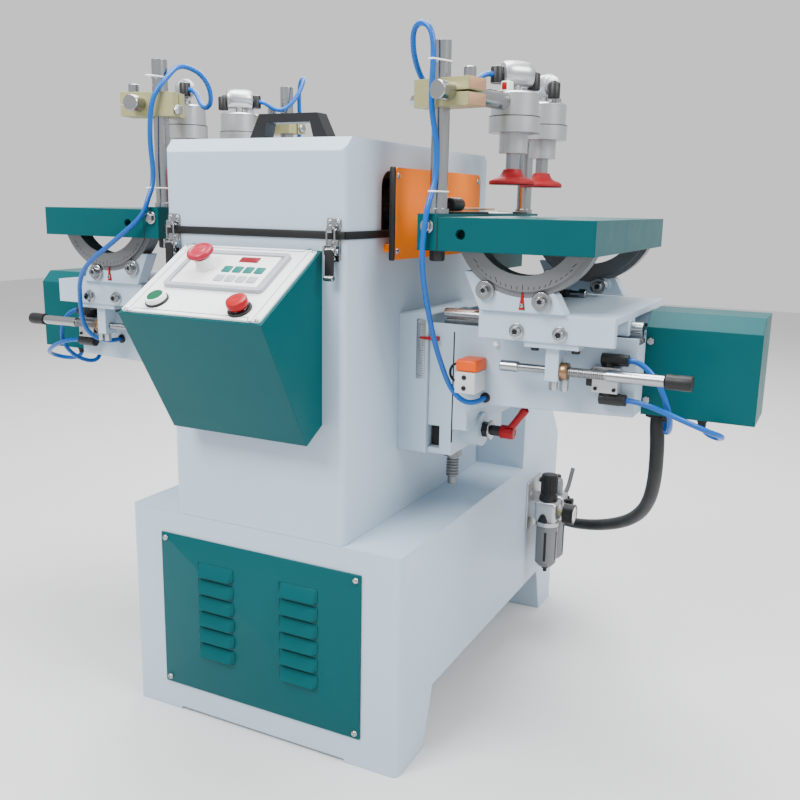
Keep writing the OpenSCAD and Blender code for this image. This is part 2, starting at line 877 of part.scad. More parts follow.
module estop_button() {
    rise = plate_t + counter_h;
    color("red") placed() on_panel(estop_x, estop_s) {
        translate([0, 0, rise - cap_d / 2]) cylinder(d = cap_d / 2, h = cap_d / 2 + estop_neck_h);
        translate([0, 0, rise + estop_neck_h]) rotate_extrude() polygon([
            [0, 0], [estop_d / 2, 0], [estop_d / 2, estop_head_h / 2], [estop_d * estop_top_share, estop_head_h], [0, estop_head_h]
        ]);
    }
}

module window_cut() {
    for (i = [0, 1]) mirror([i, 0, 0])
        translate([column_hw - hood_t - overrun, window_y, 0]) rotate([90, 0, 90])
            linear_extrude(hood_t + 2 * overrun) {
                translate([0, hood_z - overrun]) square([window_d, window_h - window_r + overrun]);
                translate([window_r, hood_z]) square([window_d - 2 * window_r, window_h]);
                for (y = [window_r, window_d - window_r]) translate([y, hood_z + window_h - window_r]) circle(window_r);
            }
}

module hood() {
    outer = [
        [0, hood_z], [column_d, hood_z], [column_d, hood_top - hood_bevel],
        [column_d - hood_bevel, hood_top], [hood_bevel, hood_top], [0, hood_top - hood_bevel]
    ];
    inner = [
        [hood_t, hood_z - overrun], [column_d - hood_t, hood_z - overrun],
        [column_d - hood_t, hood_top - hood_bevel - hood_t / 2], [column_d - hood_bevel - hood_t / 2, hood_top - hood_t],
        [hood_bevel + hood_t / 2, hood_top - hood_t], [hood_t, hood_top - hood_bevel - hood_t / 2]
    ];
    color("gainsboro") placed() {
        difference() {
            intersection() {
                profile_x(outer, -column_hw, column_hw);
                translate([-column_hw, 0, hood_z]) linear_extrude(hood_h)
                    round_rect(2 * column_hw, column_d, corner_r);
            }
            profile_x(inner, hood_t - column_hw, column_hw - hood_t);
            window_cut();
        }
        difference() {
            union() {
                knuckles(1);
                for (i = [1, 3]) {
                    x = (i - 2) * knuckle_l;
                    block(x - knuckle_l / 2 + slide_clear, x + knuckle_l / 2 - slide_clear, column_d - overrun,
                        hinge_y, hood_z, hood_z + hinge_leaf_h);
                }
            }
            bar_x(-3 * knuckle_l, 3 * knuckle_l, hinge_y, hood_z, hinge_pin_r + run_clear);
        }
    }
}

module hood_handle() {
    foot = handle_hw - handle_h / 2;
    outline = [
        [-handle_hw, 0], [-foot, handle_h], [foot, handle_h], [handle_hw, 0],
        [handle_hw - 2 * handle_t, 0], [foot - handle_t, handle_h - handle_t],
        [handle_t - foot, handle_h - handle_t], [2 * handle_t - handle_hw, 0]
    ];
    color("dimgray") placed() translate([0, 0, hood_top])
        profile_y(outline, handle_y - handle_d / 2, handle_y + handle_d / 2);
}

module seal() {
    color("black") placed() translate([0, 0, column_top]) difference() {
        translate([-column_hw - seal_proud, -seal_proud, 0]) linear_extrude(seal_t)
            round_rect(2 * (column_hw + seal_proud), column_d + 2 * seal_proud, corner_r);
        block(seal_w - column_hw, column_hw - seal_w, seal_w, column_d - seal_w, -overrun, seal_t + overrun);
    }
}

module guards() {
    color("darkorange") placed() for (i = [0, 1]) mirror([i, 0, 0]) {
        translate([column_hw + guard_gap, guard_y, guard_z]) rotate([90, 0, 90]) linear_extrude(guard_t)
            round_rect(guard_l, guard_h, guard_r);
        for (y = [guard_y + spacer_inset, guard_y + guard_l - spacer_inset])
            bar_x(column_hw, column_hw + guard_gap, y, guard_z + guard_spacer_rise, spacer_r);
    }
}

// Base plate and ears of a toggle latch on the column front
module latch_bases() {
    low = column_top - latch_plate_drop - latch_plate_h;
    pivot = column_top - latch_plate_drop - latch_pivot_drop;
    color("silver") placed() for (x = [-latch_x, latch_x]) {
        block(x - latch_w / 2, x + latch_w / 2, -latch_plate_t, 0, low, low + latch_plate_h);
        for (side = [-1, 1]) translate([x + side * (latch_w / 2 - ear_t / 2), 0, 0]) difference() {
            block(-ear_t / 2, ear_t / 2, -latch_plate_t - latch_gap - 3 * latch_pin_r, -latch_plate_t,
                pivot - 3 * latch_pin_r, pivot + 3 * latch_pin_r);
            bar_x(-ear_t, ear_t, -latch_plate_t - latch_gap, pivot, latch_pin_r + run_clear);
        }
    }
}

// Lever and pin of a toggle latch
module latch_lever(x) {
    pivot = column_top - latch_plate_drop - latch_pivot_drop;
    y = -latch_plate_t - latch_gap;
    w = latch_w / 2 - ear_t - slide_clear;
    color("silver") placed() translate([x, 0, 0]) {
        bar_x(-latch_w / 2, latch_w / 2, y, pivot, latch_pin_r);
        block(-w, w, y - latch_pin_r - latch_lever_t, y - latch_pin_r, pivot - latch_lever_l, pivot);
        block(-w, w, y - latch_pin_r, y, pivot - latch_pin_r, pivot);
    }
}

module latch_lever_left() {
    latch_lever(-latch_x);
}

module latch_lever_right() {
    latch_lever(latch_x);
}

// The dovetail as [y, x] points around its middle
function dovetail(extra) = [
    [-tail_w / 2 - extra, -overrun], [-tail_w / 2 - tail_flare - extra, tail_d + extra],
    [tail_w / 2 + tail_flare + extra, tail_d + extra], [tail_w / 2 + extra, -overrun]
];

// Places the dovetail and the lifting nut on the slide face
module on_way(z0, z1, extra, shift) {
    translate([way_x + way_w, way_y + way_d / 2 + shift, z0]) rotate([0, 0, -90]) mirror([1, 0, 0])
        linear_extrude(z1 - z0) polygon(dovetail(extra));
}

module slide_ways() {
    color("lightgrey") placed() for (i = [0, 1]) mirror([i, 0, 0]) {
        block(way_x, way_x + way_w, way_y, way_y + way_d, way_z, way_z + way_h);
        on_way(way_z, way_z + way_h, 0, tail_shift);
        difference() {
            block(way_x + way_w, screw_x + nut_w / 2, screw_y - nut_w / 2, screw_y + nut_w / 2, nut_z, nut_z + nut_h);
            bar_z(screw_x, screw_y, nut_z - overrun, nut_z + nut_h + overrun, screw_r + run_clear);
        }
    }
}

// Drive

module spindle_motor() {
    color("slategray") placed() difference() {
        union() {
            bar_x(-motor_hl, motor_hl, spindle_y, spindle_z, motor_r);
            block(-motor_foot_hw, motor_foot_hw, spindle_y - motor_foot_hd, spindle_y + motor_foot_hd,
                chamber_z, spindle_z);
        }
        bar_x(-motor_hl - overrun, motor_hl + overrun, spindle_y, spindle_z, spindle_r + run_clear);
    }
}

module cutter_spindle() {
    half = motor_hl + shaft_gap + cutter_l;
    color("silver") placed() {
        bar_x(-half, half, spindle_y, spindle_z, spindle_r);
        for (i = [0, 1]) mirror([i, 0, 0]) {
            bar_x(motor_hl + shaft_gap, half, spindle_y, spindle_z, cutter_r);
            for (k = [0 : knives - 1]) translate([motor_hl + shaft_gap, spindle_y, spindle_z])
                rotate([360 * k / knives, 0, 0])
                    block(0, cutter_l, -knife_t / 2, knife_t / 2, cutter_r / 2, cutter_r + knife_proud);
        }
    }
}

// Air unit on the right-hand side of the rear cabinet

module air_unit() {
    tail_y = air_y0 + air_pitch;
    bend_y = tail_y + air_body_w / 2 + tail_rise_l;
    top = air_z + air_h;
    color("silver") placed() {
        block(base_hw, base_hw + air_bracket_t, air_y0 - air_pitch / 2, air_y0 + 3 * air_pitch / 2,
            air_z - air_bracket_h / 4, air_z + air_bracket_h);
        for (y = [air_y0, tail_y])
            block(air_ax - air_body_w / 2, air_ax + air_body_w / 2, y - air_body_w / 2, y + air_body_w / 2, air_z, top);
        block(base_hw + air_bracket_t, air_ax - air_body_w / 2, air_y0 - air_body_w / 4, tail_y + air_body_w / 4, air_z, top);
        block(air_ax - air_body_w / 4, air_ax + air_body_w / 4, air_y0, tail_y, air_z + air_h / 4, top - air_h / 4);
        bar_z(air_ax, air_y0, top, top + knob_h, knob_r);
        bar_x(air_ax, air_ax + air_body_w / 2 + gauge_t / 2, air_y0, air_z + air_h / 2, gauge_r / 3);
        bar_x(air_ax + air_body_w / 2 + gauge_t / 2, air_ax + air_body_w / 2 + 3 * gauge_t / 2, air_y0,
            air_z + air_h / 2, gauge_r);
        bar_z(air_ax, tail_y, top, top + dome_h, dome_r);
        bar_y(air_ax, tail_y, bend_y - tail_gap, air_z + air_h / 2, tail_r);
        bar_y(air_ax, bend_y - tail_collar_l / 2, bend_y + tail_collar_l / 2, air_z + air_h / 2, tail_collar_r);
        translate([air_ax, bend_y, air_z + air_h / 2 + tail_bend_r]) rotate([tail_bend_angle, 0, 0]) {
            translate([0, 0, -tail_bend_r]) {
                bar_y(0, tail_gap, tail_end_l, 0, tail_r);
                bar_y(0, -tail_collar_l / 2, tail_collar_l / 2, 0, tail_collar_r);
            }
            rotate([0, 90, 0]) rotate([0, 0, tail_gap - tail_bend_angle])
                rotate_extrude(angle = tail_bend_angle - 2 * tail_gap) translate([tail_bend_r, 0]) circle(tail_r);
        }
    }
}

module air_bowls() {
    color("gray") placed() for (y = [air_y0, air_y0 + air_pitch])
        translate([air_ax, y, air_z]) mirror([0, 0, 1]) rotate_extrude() polygon([
            [0, 0], [bowl_r, 0], [bowl_r, bowl_l - bowl_r / 2], [bowl_r - bowl_neck * 2, bowl_l - bowl_neck],
            [bowl_neck, bowl_l - bowl_neck], [bowl_neck, bowl_l], [0, bowl_l]
        ]);
}

module conduit() {
    color("black") placed() tube(conduit_route, conduit_d, conduit_sides);
}

// Arm with its slide plate

module arm() {
    a = arm_haunch_shares;
    outline = [
        [arm_x, arm_top], [arm_end, arm_top], [arm_end, arm_low], [arm_x + arm_l * a[0], arm_low - arm_h * a[2]],
        [arm_x + arm_l * a[1], arm_low - arm_h * a[3]], [arm_x + arm_l * a[1], arm_low - arm_h * a[4]],
        [arm_x, arm_low - arm_h * a[4]]
    ];
    color("lightgrey") {
        difference() {
            union() {
                block(knee_x, arm_x, arm_y, arm_y + arm_d, foot_z, arm_top);
                profile_y(outline, arm_y, arm_y + arm_d);
                block(knee_x, arm_end, arm_y, arm_y + lip_t, arm_top - lip_t, arm_top + lip_h);
                bar_x(arm_x, arm_x + boss_l, arm_y + lock_y, lock_z, boss_r);
            }
            block(arm_x + arm_l * a[0], arm_end - arm_wall, arm_y + arm_wall, arm_y + arm_d - arm_wall,
                foot_z, arm_top - arm_wall);
            on_way(foot_z - overrun, arm_top + overrun, slide_clear, tail_shift);
            block(knee_x - overrun, screw_x + nut_w / 2 + slide_clear, screw_y - nut_w / 2 - slide_clear,
                screw_y + nut_w / 2 + slide_clear, foot_z + foot_h, slot_top);
            bar_z(screw_x, screw_y, foot_z - overrun, slot_top, screw_r + run_clear);
            bar_x(arm_x, arm_x + boss_l + overrun, arm_y + lock_y, lock_z, stud_r + run_clear);
            block(knee_x - overrun, knee_x + knee_w / 2, arm_y - overrun, screw_y - nut_w, foot_z + foot_h / 4,
                foot_z + 5 * foot_h / 4);
        }
    }
}

module lock_lever() {
    x = arm_x + boss_l;
    color("red") translate([0, arm_y + lock_y, lock_z]) {
        bar_x(arm_x, x + stud_l, 0, 0, stud_r);
        bar_x(x + stud_l - hub_l, x + stud_l, 0, 0, hub_r);
        translate([x + stud_l - hub_l / 2, 0, 0]) rotate([0, lever_lean, 0]) cylinder(r = lever_r, h = lever_l);
    }
}

module lifting_screw() {
    square_hw = screw_r * screw_square_share;
    low = foot_z - screw_collar_h;
    color("silver") {
        bar_z(screw_x, screw_y, foot_z, nut_z + 2 * nut_h, screw_r);
        bar_z(screw_x, screw_y, low, foot_z, screw_r + screw_collar_wall);
        translate([screw_x, screw_y, low - screw_cone_h])
            cylinder(r1 = screw_r, r2 = screw_r + screw_collar_wall - overrun, h = screw_cone_h);
        block(screw_x - square_hw, screw_x + square_hw, screw_y - square_hw, screw_y + square_hw, screw_z, low - screw_cone_h);
    }
}

module guide_rails() {
    x0 = knee_x + rail_inset;
    color("silver") for (y = rod_ys) {
        bar_x(x0, arm_end, y, rod_z, rod_r);
        block(x0, arm_end, y - rail_w / 2, y + rail_w / 2, arm_top, arm_top + rail_t);
        block(x0, arm_end, y - rail_neck / 2, y + rail_neck / 2, arm_top, rod_z);
    }
}

module end_cover() {
    outline = [
        [cover_y, cover_z], [cover_y + cover_d, cover_z], [cover_y + cover_d, cover_z + cover_h + cover_bevel],
        [cover_y + cover_bevel, cover_z + cover_h + cover_bevel], [cover_y, cover_z + cover_h]
    ];
    middle = [cover_y + cover_d / 2, cover_z + cover_h / 2];
    color("teal") difference() {
        profile_x(outline, cover_x0, cover_x1);
        profile_x([for (p = outline) middle + (p - middle) * cavity_share], cover_x0 + cover_t, cover_x1 - cover_t);
    }
}

module air_valve() {
    x = arm_x + valve_x;
    y = arm_y - valve_d;
    color("silver") {
        block(x, x + valve_w, y, arm_y, valve_z, valve_z + valve_h);
        bar_z(x + valve_w / 2, y + valve_d / 2, valve_z - valve_elbow_z, valve_z + valve_h + valve_elbow_z, valve_neck_r);
        for (z = [valve_z - valve_elbow_z, valve_z + valve_h + valve_elbow_z])
            bar_x(x + valve_w / 2 - valve_elbow_r, x + valve_w / 2 + valve_elbow_l, y + valve_d / 2, z, valve_elbow_r);
    }
}

module limit_switch() {
    x = arm_x + switch_x;
    color("darkgray") block(x, x + switch_w, arm_y - switch_d, arm_y, switch_z, switch_z + switch_h);
    color("orangered") profile_x([
        [arm_y - switch_d, switch_z + switch_h], [arm_y, switch_z + switch_h], [arm_y, switch_z + switch_h + switch_cap_h],
        [arm_y - 3 * switch_d / 4, switch_z + switch_h + switch_cap_h],
        [arm_y - switch_d, switch_z + switch_h + switch_cap_h / 2]
    ], x + switch_w / 8, x + switch_w);
}

// Carriage

module carriage() {
    y1 = carriage_y + carriage_d;
    color("lightgrey") {
        difference() {
            union() {
                block(carriage_x0, carriage_x1, carriage_y, y1, carriage_top - carriage_t, carriage_top);
                block(carriage_x0, carriage_x1, carriage_y, carriage_y + apron_t, apron_low, carriage_top);
                block(carriage_x0, carriage_x1, y1 - apron_t, y1, apron_low, carriage_top);
                for (y = rod_ys, x = [carriage_x0, carriage_x1 - bearing_l])
                    block(x, x + bearing_l, y - bearing_w / 2, y + bearing_w / 2, bearing_low, carriage_top);
            }
            for (y = rod_ys) {
                bar_x(carriage_x0 - overrun, carriage_x1 + overrun, y, rod_z, rod_r + run_clear);
                block(carriage_x0 - overrun, carriage_x1 + overrun, y - rail_neck / 2 - 2 * slide_clear,
                    y + rail_neck / 2 + 2 * slide_clear, bearing_low - overrun, rod_z);
            }
        }
        difference() {
            union() {
                block(tee_x - tee_w / 2, tee_x + tee_w / 2, carriage_y + apron_t / 4, carriage_y + apron_t / 4 + tee_depth,
                    apron_low - tee_flange_t, apron_low);
                block(tee_x - tee_t / 2, tee_x + tee_t / 2, stop_y - tee_depth / 2, stop_y + tee_depth / 2,
                    stop_z - tee_below, apron_low);
            }
            bar_x(tee_x - tee_t, tee_x + tee_t, stop_y, stop_z, stop_r + run_clear);
        }
    }
}

// Cradle plate as [x, z] points around the tilt axis, before the segment seat is cut
function cradle_outline() = [
    [-cradle_in_top, carriage_top + cradle_rise - table_z], [-cradle_in_low, carriage_top - table_z],
    [cradle_out_low, carriage_top - table_z], [cradle_out_top, carriage_top + cradle_out_rise - table_z],
    [0, carriage_top + cradle_rise - table_z]
];

module cradles() {
    color("lightgrey") for (y = seg_ys) {
        difference() {
            translate([tilt_ax, 0, table_z]) profile_y(cradle_outline(), y, y + cradle_t);
            bar_y(tilt_ax, y - overrun, y + cradle_t + overrun, table_z, seg_r + slide_clear);
        }
        for (a = clamp_angles) translate([tilt_ax, 0, table_z]) rotate([0, -a, 0])
            translate([0, 0, -seg_r - washer_r * washer_seat_share]) {
                bar_y(0, y - slide_clear - washer_t, y - slide_clear, 0, washer_r);
                bar_y(0, y - slide_clear - washer_t - clamp_bolt_h, y - slide_clear - washer_t, 0, clamp_bolt_r);
            }
    }
}

module stop_rod() {
    x1 = stop_x0 + stop_l;
    collar_x = tee_x + tee_t / 2 + slide_clear;
    color("silver") {
        bar_x(stop_x0, x1, stop_y, stop_z, stop_r);
        bar_x(stop_x0, stop_x0 + sleeve_l, stop_y, stop_z, sleeve_r);
        bar_x(collar_x, collar_x + collar_l, stop_y, stop_z, collar_r);
        bar_x(x1, x1 + grip_l, stop_y, stop_z, grip_r);
    }
}

// Table and clamps

module table() {
    color("teal") difference() {
        block(fence_x1, table_x1, table_y, table_y + table_d, table_low, table_z);
        difference() {
            block(fence_x1 + table_t, table_x1 - table_t, table_y + table_t, table_y + table_d - table_t,
                table_low - overrun, table_z - table_t);
            for (y = seg_ys)
                block(fence_x1, table_x1, y - table_t / 2, y + seg_t + table_t / 2, table_low - 2 * overrun, table_z);
        }
        bar_y(fence_x1 + table_hole_x, table_y - overrun, table_y + table_hole_depth, table_z - table_h / 2, table_hole_r);
    }
}

module fence() {
    y1 = table_y + table_d;
    color("teal") {
        difference() {
            block(table_x0, fence_x1, table_y, y1, table_low, fence_top);
            for (y = post_ys) bar_z(post_ax, y, table_low - overrun, fence_top + overrun, post_r + slide_clear);
        }
        block(table_x0, table_x0 + chip_t, y1 - chip_l, y1, table_low - chip_h, table_low);
    }
}

// A tilting segment: a half ring under the table with a proud graduated band
module segments() {
    color("silver") for (y = seg_ys) intersection() {
        difference() {
            union() {
                bar_y(tilt_ax, y + slide_clear, y + seg_t, table_z, seg_r);
                bar_y(tilt_ax, y - seg_band_t, y + seg_t, table_z, seg_band_r);
            }
            bar_y(tilt_ax, y - seg_band_t - overrun, y + seg_t + overrun, table_z, seg_bore_r);
        }
        block(tilt_ax - 2 * seg_r, tilt_ax + 2 * seg_r, y - 2 * seg_t, y + 2 * seg_t, table_low - 2 * seg_r, table_low);
    }
}

module posts() {
    color("silver") for (y = post_ys) {
        bar_z(post_ax, y, table_low, post_top, post_r);
        difference() {
            bar_z(post_ax, y, fence_top, fence_top + post_foot_t, post_foot_r);
            bar_z(post_ax, y, fence_top - overrun, fence_top + post_foot_t + overrun, post_r);
        }
        bar_z(post_ax, y, table_low - post_nut_h, table_low, post_nut_r);
    }
}

function cross_reach(rear) = rear ? rear_cross_l : cross_l;

// The frame of a clamp block: the post is at the origin and the cross rod runs along +Y
module at_post(rear) {
    translate([post_ax, post_ys[rear ? 1 : 0], 0]) mirror([0, rear ? 1 : 0, 0])
        rotate([0, 0, -(rear ? rear_turn : front_turn)]) children();
}

module clamp_blocks() {
    x0 = -block_l / 2 + cross_x / 2;
    color("goldenrod") for (rear = [false, true]) at_post(rear) {
        difference() {
            block(x0, x0 + block_l, -block_w / 2, block_w / 2, block_z - block_h / 2, block_z + block_h / 2);
            bar_z(0, 0, block_z - block_h, block_z + block_h, post_r + run_clear);
            block(cross_x, x0 + block_l + overrun, -block_w, block_w, block_z - block_split / 2, block_z + block_split / 2);
            block(x0 - overrun, 0, -block_split / 2, block_split / 2, block_z - block_h, block_z + block_h);
        }
        bar_y(cross_x, -cross_tail, cross_reach(rear) - cyl_r + cyl_drop / 2, block_z, cross_r);
    }
}

// A clamp cylinder around the Z axis of its own frame
module cylinder_body() {
    difference() {
        rotate_extrude() polygon([
            [0, nose_low], [nose_r, nose_low], [nose_r, cyl_low - flange_h], [flange_r, cyl_low - flange_h],
            [flange_r, cyl_low], [cyl_r, cyl_low], [cyl_r, cyl_low + cyl_cap_h - overrun * 2],
            [cyl_r - overrun * 2, cyl_low + cyl_cap_h], [0, cyl_low + cyl_cap_h]
        ]);
        bar_z(0, 0, nose_low - overrun, cyl_low + cyl_cap_h / 2, piston_r + run_clear);
        bar_y(0, -cross_l, -cyl_r + cyl_drop / 2, block_z, cross_r + run_clear);
    }
    top = cyl_low + cyl_cap_h;
    bar_z(0, 0, top, top + port_h, port_r);
    rotate([0, 0, port_turn]) {
        bar_x(-port_body_l / 2, port_body_l / 2, 0, top + port_h + port_body_r * port_seat_share, port_body_r);
        bar_x(-port_body_l / 2 - elbow_r, 0, 0, top + port_h + port_body_r * port_seat_share, port_r);
        bar_z(-port_body_l / 2 - elbow_r, 0, top + port_h, top + port_h + elbow_l, elbow_r);
    }
}

module cylinders() {
    color("silver") for (rear = [false, true]) at_post(rear) translate([cross_x, cross_reach(rear), 0]) cylinder_body();
}

module pad(rear) {
    color("red") at_post(rear) translate([cross_x, cross_reach(rear), 0]) {
        bar_z(0, 0, pad_low + pad_t, cyl_low + cyl_cap_h / 2 - overrun, piston_r);
        translate([0, 0, pad_low]) rotate_extrude() polygon([
            [0, 0], [pad_r, 0], [pad_r, pad_t * pad_rim_share], [pad_r * pad_top_share, pad_t],
            [(pad_r + piston_r) / 2, pad_t], [piston_r + pad_hub_wall, pad_t + pad_hub_h], [0, pad_t + pad_hub_h]
        ]);
    }
}

module air_tubes(left) {
    color("dodgerblue") {
        tube(left ? left_post_tube : post_tube, air_tube_d, tube_sides);
        if (left) tube(rear_tube, air_tube_d, tube_sides);
        tube(valve_tube, air_tube_d, tube_sides);
        tube(return_tube, air_tube_d, tube_sides);
    }
}

// Each side piece in its place

module arm_left() {
    on_side(true) arm();
}

module guide_rails_left() {
    on_side(true) guide_rails();
}

module end_cover_left() {
    on_side(true) end_cover();
}

module air_valve_left() {
    on_side(true) air_valve();
}

module limit_switch_left() {
    on_side(true) limit_switch();
}

module lock_lever_left() {
    on_side(true) lock_lever();
}

module lifting_screw_left() {
    on_side(true) lifting_screw();
}

module carriage_left() {
    on_side(true) carriage();
}

module cradles_left() {
    on_side(true) cradles();
}

module stop_rod_left() {
    on_side(true) stop_rod();
}

module table_left() {
    on_side(true) table();
}

module fence_left() {
    on_side(true) fence();
}

module segments_left() {
    on_side(true) segments();
}

module posts_left() {
    on_side(true) posts();
}

module clamp_blocks_left() {
    on_side(true) clamp_blocks();
}

module cylinders_left() {
    on_side(true) cylinders();
}

module front_pad_left() {
    on_side(true) pad(false);
}

module rear_pad_left() {
    on_side(true) pad(true);
}

module air_tubes_left() {
    on_side(true) air_tubes(true);
}

module arm_right() {
    on_side(false) arm();
}

module guide_rails_right() {
    on_side(false) guide_rails();
}

module end_cover_right() {
    on_side(false) end_cover();
}

module air_valve_right() {
    on_side(false) air_valve();
}

module limit_switch_right() {
    on_side(false) limit_switch();
}

module lock_lever_right() {
    on_side(false) lock_lever();
}

module lifting_screw_right() {
    on_side(false) lifting_screw();
}

module carriage_right() {
    on_side(false) carriage();
}

module cradles_right() {
    on_side(false) cradles();
}

module stop_rod_right() {
    on_side(false) stop_rod();
}

module table_right() {
    on_side(false) table();
}

module fence_right() {
    on_side(false) fence();
}

module segments_right() {
    on_side(false) segments();
}

module posts_right() {
    on_side(false) posts();
}

module clamp_blocks_right() {
    on_side(false) clamp_blocks();
}

module cylinders_right() {
    on_side(false) cylinders();
}

module front_pad_right() {
    on_side(false) pad(false);
}

module rear_pad_right() {
    on_side(false) pad(true);
}

module air_tubes_right() {
    on_side(false) air_tubes(false);
}

pedestal();
column();
louvre_panel();
control_box();
control_plate();
counter_unit();
estop_button();
start_button();
stop_button();
hood();
hood_handle();
seal();
guards();
latch_bases();
latch_lever_left();
latch_lever_right();
slide_ways();
air_unit();
air_bowls();
conduit();
spindle_motor();
cutter_spindle();
arm_left();
guide_rails_left();
end_cover_left();
air_valve_left();
limit_switch_left();
lock_lever_left();
lifting_screw_left();
carriage_left();
cradles_left();
stop_rod_left();
table_left();
fence_left();
segments_left();
posts_left();
clamp_blocks_left();
cylinders_left();
front_pad_left();
rear_pad_left();
air_tubes_left();
arm_right();
guide_rails_right();
end_cover_right();
air_valve_right();
limit_switch_right();
lock_lever_right();
lifting_screw_right();
carriage_right();
cradles_right();
stop_rod_right();
table_right();
fence_right();
segments_right();
posts_right();
clamp_blocks_right();
cylinders_right();
front_pad_right();
rear_pad_right();
air_tubes_right();
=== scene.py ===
"""Looks of the tenoning machine: finishes, small fittings, tubes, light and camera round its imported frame."""
import json
import logging
import math
from dataclasses import dataclass
from enum import Enum
from typing import ClassVar, Sequence

import bpy
from mathutils import Euler, Matrix, Vector


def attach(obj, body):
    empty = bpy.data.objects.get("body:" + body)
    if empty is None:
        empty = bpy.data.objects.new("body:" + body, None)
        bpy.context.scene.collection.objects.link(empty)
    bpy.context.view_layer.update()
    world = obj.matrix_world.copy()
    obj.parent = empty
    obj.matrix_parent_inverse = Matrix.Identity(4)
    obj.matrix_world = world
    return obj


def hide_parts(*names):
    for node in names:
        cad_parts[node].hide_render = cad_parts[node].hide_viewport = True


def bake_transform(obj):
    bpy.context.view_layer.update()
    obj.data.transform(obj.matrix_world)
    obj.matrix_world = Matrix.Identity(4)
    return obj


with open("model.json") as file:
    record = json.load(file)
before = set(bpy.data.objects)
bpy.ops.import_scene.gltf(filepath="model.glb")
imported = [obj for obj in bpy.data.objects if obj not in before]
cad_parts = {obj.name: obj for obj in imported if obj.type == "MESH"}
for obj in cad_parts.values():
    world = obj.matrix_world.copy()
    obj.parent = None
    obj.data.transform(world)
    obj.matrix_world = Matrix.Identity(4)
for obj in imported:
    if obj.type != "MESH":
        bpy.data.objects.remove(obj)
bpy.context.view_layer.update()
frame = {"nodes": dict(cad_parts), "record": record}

LOG = logging.getLogger("tenoning_machine")
MM = 0.001
# The part's origin lies this far behind the casing's front, in millimetres.
FRONT = 303.0
# Faces that meet at less than these angles are shaded as one, on most pieces and on flat plates.
SMOOTH = math.radians(38)
PLATE_SMOOTH = math.radians(24)
# Stretches that each step of a given route is parted into.
CURVE_STEPS = 4

Point = tuple[float, float, float]
Color = tuple[float, float, float, float]
Profile = Sequence[tuple[float, float]]
Piece = bpy.types.Object
Tree = bpy.types.NodeTree
Socket = bpy.types.NodeSocket
HOME = Matrix.Translation((0.0, -FRONT * MM, 0.0)) @ Matrix.Scale(MM, 4)
MIRROR = Matrix.Diagonal((-1.0, 1.0, 1.0, 1.0))


class Side(Enum):
    """The two mirrored halves of the machine."""

    LEFT = -1
    RIGHT = 1

    @property
    def tag(self) -> str:
        """Ending of this half's body and node names."""
        return self.name.lower()

    def of(self, name: str) -> str:
        """Name of a body or node on this half."""
        return f"{name}_{self.tag}"

    @property
    def frame(self) -> Matrix:
        """Matrix that puts millimetre work for the right half on this half."""
        return MIRROR @ HOME if self is Side.LEFT else HOME


class Facing(Enum):
    """Which way the top of a small fitting looks, as turns about X and Y."""

    UP = (0.0, 0.0)
    DOWN = (math.pi, 0.0)
    FRONT = (math.pi / 2, 0.0)
    BACK = (-math.pi / 2, 0.0)
    OUT = (0.0, math.pi / 2)
    IN = (0.0, -math.pi / 2)


def spot(x: float, y: float, z: float, facing: Facing = Facing.UP, turn: float = 0.0) -> Matrix:
    """Place of a fitting in millimetres, with the way that it faces and its turn in degrees."""
    way = Euler((*facing.value, 0.0)).to_matrix().to_4x4()
    return Matrix.Translation((x, y, z)) @ way @ Matrix.Rotation(math.radians(turn), 4, "Z")


